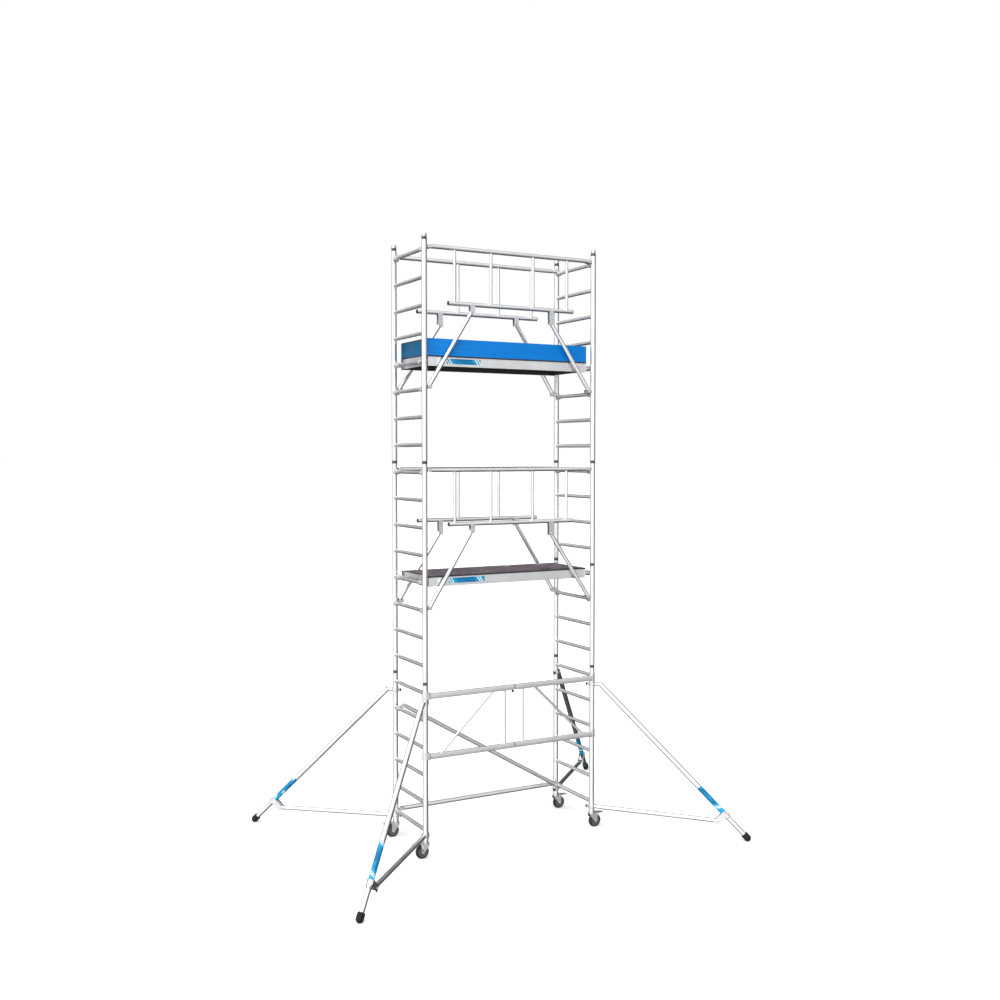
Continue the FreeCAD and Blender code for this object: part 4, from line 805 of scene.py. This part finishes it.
brace_foot = rung_height(0) + RAIL_RISE
brace_head = rung_height(4) + RAIL_RISE
level = tube((-RAIL_END, LEVEL_Y, brace_foot), (RAIL_END, LEVEL_Y, brace_foot), RAIL_RADIUS, sides=48)
diagonal = tube((-RAIL_END, SLOPE_Y, brace_head), (RAIL_END, SLOPE_Y, brace_foot), RAIL_RADIUS, sides=48)
build("level_brace_tube", [level], tube_aluminium, "tower", ["horizontal_brace"])
build("diagonal_brace_tube", [diagonal], tube_aluminium, "tower", ["diagonal_brace"])
softened("brace_claw_set", "brace_claws", 0.0060, [cast_aluminium, latch_steel], in_latch)


# ================================================================ platforms
# Two aluminium frames with plywood decks. The side beams are drawn sections whose lip frames the deck, the
# cross members are welded between them, and a trapdoor in the deck opens upwards on two steel hinges.
DECKS = {"lower": rung_height(9), "upper": rung_height(17)}
BEAM_Y = 0.276
END_BEAM_X = 0.829
END_BEAM_Y = 0.271
END_BEAM_MIDDLE = 0.0125
CROSS_HEIGHT = 0.036
DECK_TOP = 0.058
DECK_SEAT = 0.046
BOARDS = ((-0.8127, 0.139, -0.2707, 0.2707), (0.746, 0.8127, -0.2707, 0.2707),
          (0.139, 0.746, 0.2307, 0.2707))
GRIP = (0.4425, -0.2077)
GRIP_HALF = 0.040
GRIP_RADIUS = 0.014
HATCH_HINGES = (0.252, 0.633)
HINGE_SCREW_Y = 0.2092
LABEL_ENDS = {"lower": (-0.640, -0.270), "upper": (-0.660, -0.310)}
FLAT_HEAD = RIVET_DOME[:4] + [(0.0013, 0.0)]
SCREW_HEAD = [(-0.0005, 0.0), (-0.0005, 0.0034), (0.0, 0.0036), (0.0009, 0.0026), (0.0011, 0.0)]
CROSS_X = (-0.5, -0.15, 0.140, 0.745)


def beam_outline():
    """Half of the frame: web, two shallow grooves in its outer face, and the lip round the deck."""
    pairs = [(0.276, -0.0355), (0.2775, -0.037), (0.2965, -0.037), (0.298, -0.0355)]
    for groove in (-0.024, 0.038):
        pairs += [(0.298, groove - 0.0018), (0.2970, groove - 0.0010), (0.2970, groove + 0.0010),
                  (0.298, groove + 0.0018)]
    pairs += [(0.298, 0.0450), (0.2990, 0.0460), (0.3020, 0.0460), (0.303, 0.0470), (0.303, 0.0568),
              (0.3018, 0.058), (0.2722, 0.058), (0.271, 0.0568), (0.271, 0.0470), (0.272, 0.0460),
              (0.2752, 0.0460), (0.276, 0.0452)]
    return np.array(pairs)


def block(x0, x1, y0, y1, z0, z1, edge=0.0008, corner=0.0015):
    """Board or bar with a rounded outline and softened rims, closed at the middle of each face."""
    outline = rounded_box(x1 - x0, y1 - y0, corner, 3)
    middle = np.array([(x0 + x1) / 2, (y0 + y1) / 2])
    drawn_in = outline - np.sign(outline) * edge
    rings = np.array([outline * 0, drawn_in, outline, outline, drawn_in, outline * 0]) + middle
    heights = np.array([z0, z0, z0 + edge, z1 - edge, z1, z1])
    points = np.dstack([rings, np.broadcast_to(heights[:, None], rings.shape[:2])])
    places = np.concatenate([points[..., :2], points[:, :1, :2]], 1)
    return points, places, False, True


def deck_ply(name):
    """Film-faced birch plywood: a pressed mesh in a dark mauve film, worn paler where feet go."""
    material, tree = new_finish(name, 0.0, 0.35)
    where = place_of(tree)
    apart = node(tree, "SeparateXYZ", Vector=where)
    waves = []
    for direction in (1.0, -1.0):
        leaning = sum_of(tree, apart.outputs[0], sum_of(tree, apart.outputs[1], direction, "MULTIPLY"))
        turns = sum_of(tree, leaning, 2.0 * math.pi / 0.0062, "MULTIPLY")
        wave = node(tree, "Math", {"operation": "SINE"}, i0=turns).outputs[0]
        waves.append(spread(tree, wave, 0.55, 0.95, 0.0, 1.0))
    mesh_lines = sum_of(tree, waves[0], waves[1], "MAXIMUM")
    wear = noise(tree, where, 3.2, 6.0)
    dirt = noise(tree, where, 46.0, 5.0)
    worn = spread(tree, wear, 0.35, 0.68, 0.0, 1.0)
    tone = blend(tree, worn, (0.105, 0.083, 0.100), (0.170, 0.138, 0.160))
    tone = blend(tree, spread(tree, mesh_lines, 0.0, 1.0, 0.0, 0.30), tone, (0.060, 0.048, 0.058))
    tone = blend(tree, spread(tree, dirt, 0.50, 0.72, 0.0, 0.30), tone, (0.270, 0.240, 0.250))
    gloss = spread(tree, sum_of(tree, wear, dirt), 0.7, 1.3, 0.46, 0.66)
    return dressed(material, tone, gloss, sum_of(tree, mesh_lines, dirt), 0.30, 0.0005)


deck_film = deck_ply("deck film")
beam_print = striped_print("beam print", 0.36, 0.020, 0.70)
# Dark moulded finish: a real sealer on the beams' top lip, and painted shade on the faces inside the frame.
sealer_and_painted_shade = moulded("edge sealer and painted shade", (0.030, 0.027, 0.029), (0.018, 0.016, 0.018), 0.42, 0.60)
beam_half = beam_outline()
cross_outline = rounded_box(0.025, CROSS_HEIGHT, 0.002)
end_outline = rounded_box(0.032, 0.091, 0.002)
for level_name, z in DECKS.items():
    shifted = beam_half + (0.0, z)
    grids = [section(shifted, 0.0018, (-RAIL_END, 0, 0), (RAIL_END, 0, 0), Y_AXIS, Z_AXIS)]
    grids.append(placed(grids[0], 180))
    members = [(x, DECK_SEAT - CROSS_HEIGHT / 2, BEAM_Y, cross_outline) for x in CROSS_X]
    members += [(x, END_BEAM_MIDDLE, END_BEAM_Y, end_outline) for x in (-END_BEAM_X, END_BEAM_X)]
    for x, rise, reach, outline in members:
        front, back = (x, -reach, z + rise), (x, reach, z + rise)
        grids.append(section(outline, WALL, front, back, X_AXIS, Z_AXIS))
    for side in (-1, 1):
        y0, y1 = sorted((side * 0.258, side * 0.2765))
        grids.append(block(-RAIL_END, RAIL_END, y0, y1, z + 0.042, z + DECK_SEAT - 0.0001))
    beams = build("platform_beams_" + level_name, grids, tube_aluminium, "tower",
                  ["platform_frame_" + level_name]).data
    # The lip above the deck seat takes the dark sealer. The faces inside the frame, under the deck, take it
    # too as painted shade.
    beams.materials.append(sealer_and_painted_shade)
    middles = np.empty(3 * len(beams.polygons))
    beams.polygons.foreach_get("center", middles)
    across_x, across_y, up = np.abs(middles[0::3]), np.abs(middles[1::3]), middles[2::3] - z
    # Painted shade: faces inside the frame (beams, end beams, ledges, cross members) are coloured dark for
    # the shade under the deck.
    painted_shade_faces = (across_y < BEAM_Y + 0.0004) & (across_x < RAIL_END - 0.0004)
    beams.polygons.foreach_set("material_index", ((up > DECK_SEAT + 0.0002) | painted_shade_faces).astype(int))
    boards = [block(*board, z + DECK_SEAT, z + DECK_TOP, 0.0007, 0.002) for board in BOARDS]
    build("deck_boards_" + level_name, boards, deck_film, "tower", ["deck_" + level_name])
    spots = [(x, y) for x in np.arange(-0.79, 0.80, 0.158) for y in (-0.262, 0.262)
             if y > 0 or not 0.12 < x < 0.76]
    spots += [(x, y) for x in CROSS_X[:2] for y in (-0.13, 0.0, 0.13)]
    top = z + DECK_TOP
    heads = [lathe((x, y, top), (x, y, top + 1), FLAT_HEAD, 12, False) for x, y in spots]
    build("deck_rivets_" + level_name, heads, zinc_steel, "tower")
    left, right = LABEL_ENDS[level_name]
    label = block(left, right, -0.2983, -0.2978, z - 0.014, z + 0.034, 0.0001, 0.0002)
    label[1][..., 0] = np.concatenate([label[0][..., 2], label[0][:, :1, 2]], 1) - z
    label[1][..., 1] = np.concatenate([label[0][..., 0], label[0][:, :1, 0]], 1) - left
    build("beam_labels_" + level_name, [label, placed(label, 180)], beam_print, "tower")
    softened("hatch_panel_" + level_name, "hatch_" + level_name, 0.0007, [deck_film, zinc_steel],
             lambda middle, top=z + DECK_TOP: middle.z > top + 0.00005)


def stadium(x, y, z, half, radius, section_pairs, steps=14):
    """Ring round a slot: a small section carried along two half circles and the straights between them."""
    turn = np.linspace(-math.pi / 2, math.pi / 2, steps)
    right = np.stack([half + np.cos(turn) * 0, np.sin(turn) * 0], -1)
    spine = np.concatenate([right, -right])
    half_circle = np.stack([np.cos(turn), np.sin(turn)], -1)
    away = np.concatenate([half_circle, -half_circle])
    pairs = np.array(section_pairs)
    flat = spine[:, None] + away[:, None] * (radius + pairs[None, :, :1])
    heights = np.broadcast_to(z + pairs[None, :, 1], flat.shape[:2])
    points = np.dstack([flat + (x, y), heights])
    places = np.zeros((len(spine) + 1, len(pairs) + 1, 2))
    return points, places, True, True


for level_name, z in DECKS.items():
    rim = [(-0.0024, -0.0128), (-0.0002, -0.0128), (-0.0002, 0.0), (0.0042, 0.0), (0.0048, 0.0006),
           (0.0040, 0.0012), (-0.0016, 0.0012), (-0.0024, 0.0006)]
    trim = stadium(*GRIP, z + DECK_TOP, GRIP_HALF, GRIP_RADIUS, rim)
    build("hatch_grip_trim_" + level_name, [trim], black_plastic, "hatch_" + level_name)
    screws = []
    for x in HATCH_HINGES:
        for step in (-0.028, 0.0, 0.028):
            seat = np.array([x + step, HINGE_SCREW_Y, z + DECK_TOP + 0.002])
            screws.append(lathe(seat, seat + Z_AXIS, SCREW_HEAD, 12, False))
    build("hatch_screws_" + level_name, screws, zinc_steel, "hatch_" + level_name)
softened("hatch_hinge_set", "hatch_hinges", 0.0005, [zinc_steel])
softened("platform_claw_set", "platform_claws", 0.0060, [cast_aluminium])
softened("wind_lock_set", "wind_locks", 0.0020, [zinc_steel])


# ================================================================ guardrail frames
# Four frames stand on the platforms' long sides: a long top rail, a shorter middle rail with black end
# plugs, four welded uprights, and two sloping legs bolted into strap brackets. Claws hook them on the rungs.
GUARD_MIDDLE_HALF = 0.660
GUARD_DROP = 0.495
UPRIGHTS = (-0.598, -0.224, 0.224, 0.598)
UPRIGHT_RADIUS = 0.014
LEG_RADIUS = 0.019
LEG_HEAD_X = 0.421
LEG_FOOT_X = 0.858
STRAP_HALF = 0.024


def strap(path, side, width, thick):
    """Bent flat bar: a path with a flat section whose corners are softened, and whose ends are closed."""
    path = np.asarray(path, float)
    ahead = unit_rows(np.gradient(path, axis=0))
    out = unit_rows(np.cross(ahead, side))
    edge = thick * 0.25
    half = width / 2
    pairs = [(-half, edge), (-half, thick - edge), (edge - half, thick), (half - edge, thick),
             (half, thick - edge), (half, edge), (half - edge, 0.0), (edge - half, 0.0)]
    rings = [path + a * np.asarray(side, float) + b * out for a, b in pairs]
    points = np.stack(rings, 1)
    ends = [np.repeat(points[k].mean(0)[None], len(pairs), 0)[None] for k in (0, -1)]
    points = np.concatenate([ends[0], points, ends[1]])
    places = np.zeros((len(points), len(pairs) + 1, 2))
    return points, places, False, True


PLUG_PROFILE = [(0, 0), (0, 0.0179), (0.0251, 0.0179), (0.0251, 0.0196), (0.0258, 0.0202),
                (0.0285, 0.0202), (0.0303, 0.0192), (0.0310, 0.0160), (0.0310, 0.0)]
on_rail = on_tube(X_AXIS, RAIL_RADIUS)
plug_grids = []
for level_name, z in DECKS.items():
    top = z + 4 * RUNG_PITCH + RAIL_RISE
    middle = top - GUARD_DROP
    y = -STILE_Y
    tubes = [tube((-RAIL_END, y, top), (RAIL_END, y, top), RAIL_RADIUS, sides=48),
             tube((-GUARD_MIDDLE_HALF, y, middle), (GUARD_MIDDLE_HALF, y, middle), RAIL_RADIUS, sides=48)]
    beads = []
    fittings = []
    for x in UPRIGHTS:
        low, high = np.array([x, y, middle]), np.array([x, y, top])
        tubes.append(bar(low, high, UPRIGHT_RADIUS, WALL, on_rail, on_rail, 36))
        for end, away in ((low, Z_AXIS), (high, -Z_AXIS)):
            beads.append(bead(end, away, UPRIGHT_RADIUS, on_rail, 0.0020))
    for side, drop in ((-1, 0.060), (1, 0.115)):
        head = np.array([side * LEG_HEAD_X, y, middle - drop])
        foot = np.array([side * LEG_FOOT_X, y, z - RUNG_PITCH + RAIL_RISE])
        tubes.append(tube(head, foot, LEG_RADIUS, sides=44))
        low = middle - drop - 0.022
        turn = np.linspace(0.0, math.pi, 21)
        bend = [(head[0], y - RAIL_RADIUS * math.cos(a), middle + RAIL_RADIUS * math.sin(a)) for a in turn]
        near = [(head[0], y - RAIL_RADIUS, low), (head[0], y - RAIL_RADIUS, middle - 0.001)]
        far = [(head[0], y + RAIL_RADIUS, middle - 0.001), (head[0], y + RAIL_RADIUS, low)]
        fittings.append(strap(near + bend + far, X_AXIS, 2 * STRAP_HALF, 0.003))
        for face in (-1, 1):
            washer = np.array([head[0], y + face * 0.0225, head[2]])
            fittings.append(round_bar(washer, washer + face * 0.0020 * Y_AXIS, 0.0115, 28, 0.0004))
            fittings.append(round_bar(washer, washer + face * 0.0072 * Y_AXIS, 0.0092, 6, 0.0008))
    for side in (-1, 1):
        for turned_by in (0, 180):
            face = (side * (GUARD_MIDDLE_HALF - 0.025), y, middle)
            plug = lathe(face, np.add(face, (side, 0, 0)), PLUG_PROFILE, 40, False)
            plug_grids.append(placed(plug, turned_by))
    for where, degrees in (("front", 0), ("back", 180)):
        name = "guard_" + where + "_" + level_name
        build(name + "_tubes", all_placed(tubes, degrees), tube_aluminium, "tower", [name])
        build(name + "_welds", all_placed(beads, degrees), weld_aluminium, "tower")
        build(name + "_brackets", all_placed(fittings, degrees), zinc_steel, "tower")
build("guard_plugs", plug_grids, black_plastic, "tower", ["guard_end_plugs"])
softened("guard_claw_set", "guard_claws", 0.0060, [cast_aluminium, latch_steel], in_latch)


# ================================================================ toe boards
# Blue-coated plywood boards stand on edge round the upper deck: two long ones outside and two short ones
# between them, held by black moulded corner fittings.
BOARD_LOW = rung_height(17) + DECK_TOP
BOARD_HIGH = BOARD_LOW + 0.154
BOARD_OUT = 0.303
BOARD_IN = 0.285
END_BOARD_IN = 0.827


def painted_board(name, light, dark, streak_scale):
    """Blue film on plywood: the grain telegraphs through as long streaks, with a few scuffs."""
    material, tree = new_finish(name, 0.0, 0.16)
    grain = noise(tree, place_of(tree, "Object", streak_scale), 1.0, 6.0, 0.65)
    fibre = noise(tree, place_of(tree, "Object", tuple(4.0 * s for s in streak_scale)), 1.0, 3.0)
    scrape = noise(tree, place_of(tree, "Object", (14.0, 14.0, 30.0)), 1.0, 5.0)
    tone = blend(tree, spread(tree, grain, 0.3, 0.7, 0.0, 1.0), dark, light)
    tone = blend(tree, spread(tree, fibre, 0.55, 0.75, 0.0, 0.25), tone, [0.6 * c for c in dark])
    tone = blend(tree, spread(tree, scrape, 0.60, 0.76, 0.0, 0.35), tone, (0.03, 0.32, 0.72))
    gloss = spread(tree, grain, 0.3, 0.7, 0.34, 0.52)
    return dressed(material, tone, gloss, sum_of(tree, grain, fibre), 0.25, 0.0006)


long_blue = painted_board("blue board", (0.001, 0.215, 0.660), (0.000, 0.150, 0.520), (3.0, 60.0, 130.0))
end_blue = painted_board("blue end board", (0.005, 0.120, 0.250), (0.002, 0.080, 0.180), (60.0, 3.0, 130.0))
long_board = block(-RAIL_END, RAIL_END, BOARD_IN, BOARD_OUT, BOARD_LOW, BOARD_HIGH, 0.0015, 0.002)
end_board = block(END_BOARD_IN, RAIL_END, -0.282, 0.282, BOARD_LOW, BOARD_HIGH, 0.0015, 0.002)
for name, board, finish, slot, cad_node in (
        ("long_toe_boards", long_board, long_blue, "toe_board", "toe_boards_long"),
        ("end_toe_boards", end_board, end_blue, "end_board", "toe_boards_end")):
    build(name, [board, placed(board, 180)], finish, "tower", [cad_node])
EDGE = 0.0004
EDGED_FROM, EDGED_TO = END_BOARD_IN - EDGE, RAIL_END + EDGE
edges = []
for low, high in ((BOARD_LOW + 0.0005, BOARD_LOW + 0.011), (BOARD_HIGH - 0.011, BOARD_HIGH + EDGE)):
    edges.append(block(EDGED_FROM, EDGED_TO, -0.2818, 0.2818, low, high, 0.0002, 0.0006))
for y in (-0.2764, 0.2764):
    edges.append(block(EDGED_FROM, EDGED_TO, y - 0.0054, y + 0.0054,
                       BOARD_LOW + 0.0105, BOARD_HIGH - 0.0105, 0.0002, 0.0006))
edges += all_placed(edges, 180)
build("end_toe_board_edging", edges, black_plastic, "tower")
softened("toe_board_fittings", "toe_board_corners", 0.0009, [black_plastic])


# ================================================================ floor, light and camera
# A pale floor with a painted shadow round the tower's base, a wide soft light from the upper left in front, a
# white room that is brighter on that side, and a camera a little above the lower guardrails.
def floor_finish():
    """Pale floor: matt, a little cloudy, darker near the tower's base as painted shadow, and a touch of its
    own light.
    """
    material, tree = new_finish("pale floor", 0.0, 0.2)
    shader = tree.nodes["Principled BSDF"]
    where = place_of(tree)
    far = node(tree, "VectorMath", {"operation": "LENGTH"}, i0=where).outputs["Value"]
    cloud = noise(tree, where, 0.6, 3.0)
    # Painted shadow: the floor colour darkens towards the middle under the tower, with a little random cloud.
    painted_shadow_fade_and_cloud = sum_of(tree, spread(tree, far, 0.4, 3.2, 0.0, 1.0), spread(tree, cloud, 0.3, 0.7, 0.0, 0.06))
    tone = blend(tree, painted_shadow_fade_and_cloud, (0.84, 0.84, 0.84), (0.93, 0.93, 0.93))
    tree.links.new(tone, shader.inputs["Base Color"])
    shader.inputs["Roughness"].default_value = 0.7
    shader.inputs["Emission Color"].default_value = (1.0, 1.0, 1.0, 1.0)
    shader.inputs["Emission Strength"].default_value = 0.20
    return material


ring_radii = np.array([0.0, 2.0, 4.0, 8.0, 16.0, 40.0, 120.0, 400.0])
ring_angles = np.linspace(0.0, 2.0 * math.pi, 96, endpoint=False)
floor_points = np.stack([ring_radii[:, None] * np.cos(ring_angles), ring_radii[:, None] * np.sin(ring_angles),
                         np.full((len(ring_radii), len(ring_angles)), -0.0002)], -1)
floor_faces = faces_of(floor_points, False, True)[0]
floor_mesh = bpy.data.meshes.new("floor")
floor_mesh.from_pydata(floor_points.reshape(-1, 3).tolist(), [], floor_faces.tolist())
floor_mesh.materials.append(floor_finish())
floor = bpy.data.objects.new("floor", floor_mesh)
floor.visible_diffuse = False
floor.visible_glossy = False
bpy.context.scene.collection.objects.link(floor)

sun = bpy.data.lights.new("soft key", "SUN")
sun.energy = 2.1
sun.angle = math.radians(80.0)
key = bpy.data.objects.new("soft key", sun)
key.rotation_euler = (math.radians(42.0), 0.0, math.radians(-62.0))
bpy.context.scene.collection.objects.link(key)

world = bpy.data.worlds.new("white room")
world.use_nodes = True
room = world.node_tree
backdrop = room.nodes["Background"]
direction = node(room, "TexCoord").outputs["Generated"]
BRIGHT_SIDE = (-0.70, -0.54, 0.47)
towards = node(room, "VectorMath", {"operation": "DOT_PRODUCT"}, i0=direction, i1=BRIGHT_SIDE)
glow = spread(room, towards.outputs["Value"], -0.48, 0.62, 0.05, 1.38)
seen = node(room, "LightPath").outputs["Is Camera Ray"]
room.links.new(sum_of(room, glow, seen, "MAXIMUM"), backdrop.inputs["Strength"])
backdrop.inputs["Color"].default_value = (1.0, 1.0, 1.0, 1.0)
bpy.context.scene.world = world
bpy.context.scene.view_settings.view_transform = "Standard"

camera_data = bpy.data.cameras.new("camera")
camera_data.sensor_width = 36.0
camera_data.lens = 40.98
camera_data.clip_end = 1000.0
camera = bpy.data.objects.new("camera", camera_data)
camera.location = (-5.2228, -9.6268, 3.6658)
camera.rotation_euler = (math.pi / 2 - 0.039835, 0.0, -0.50161)
bpy.context.scene.collection.objects.link(camera)
bpy.context.scene.camera = camera
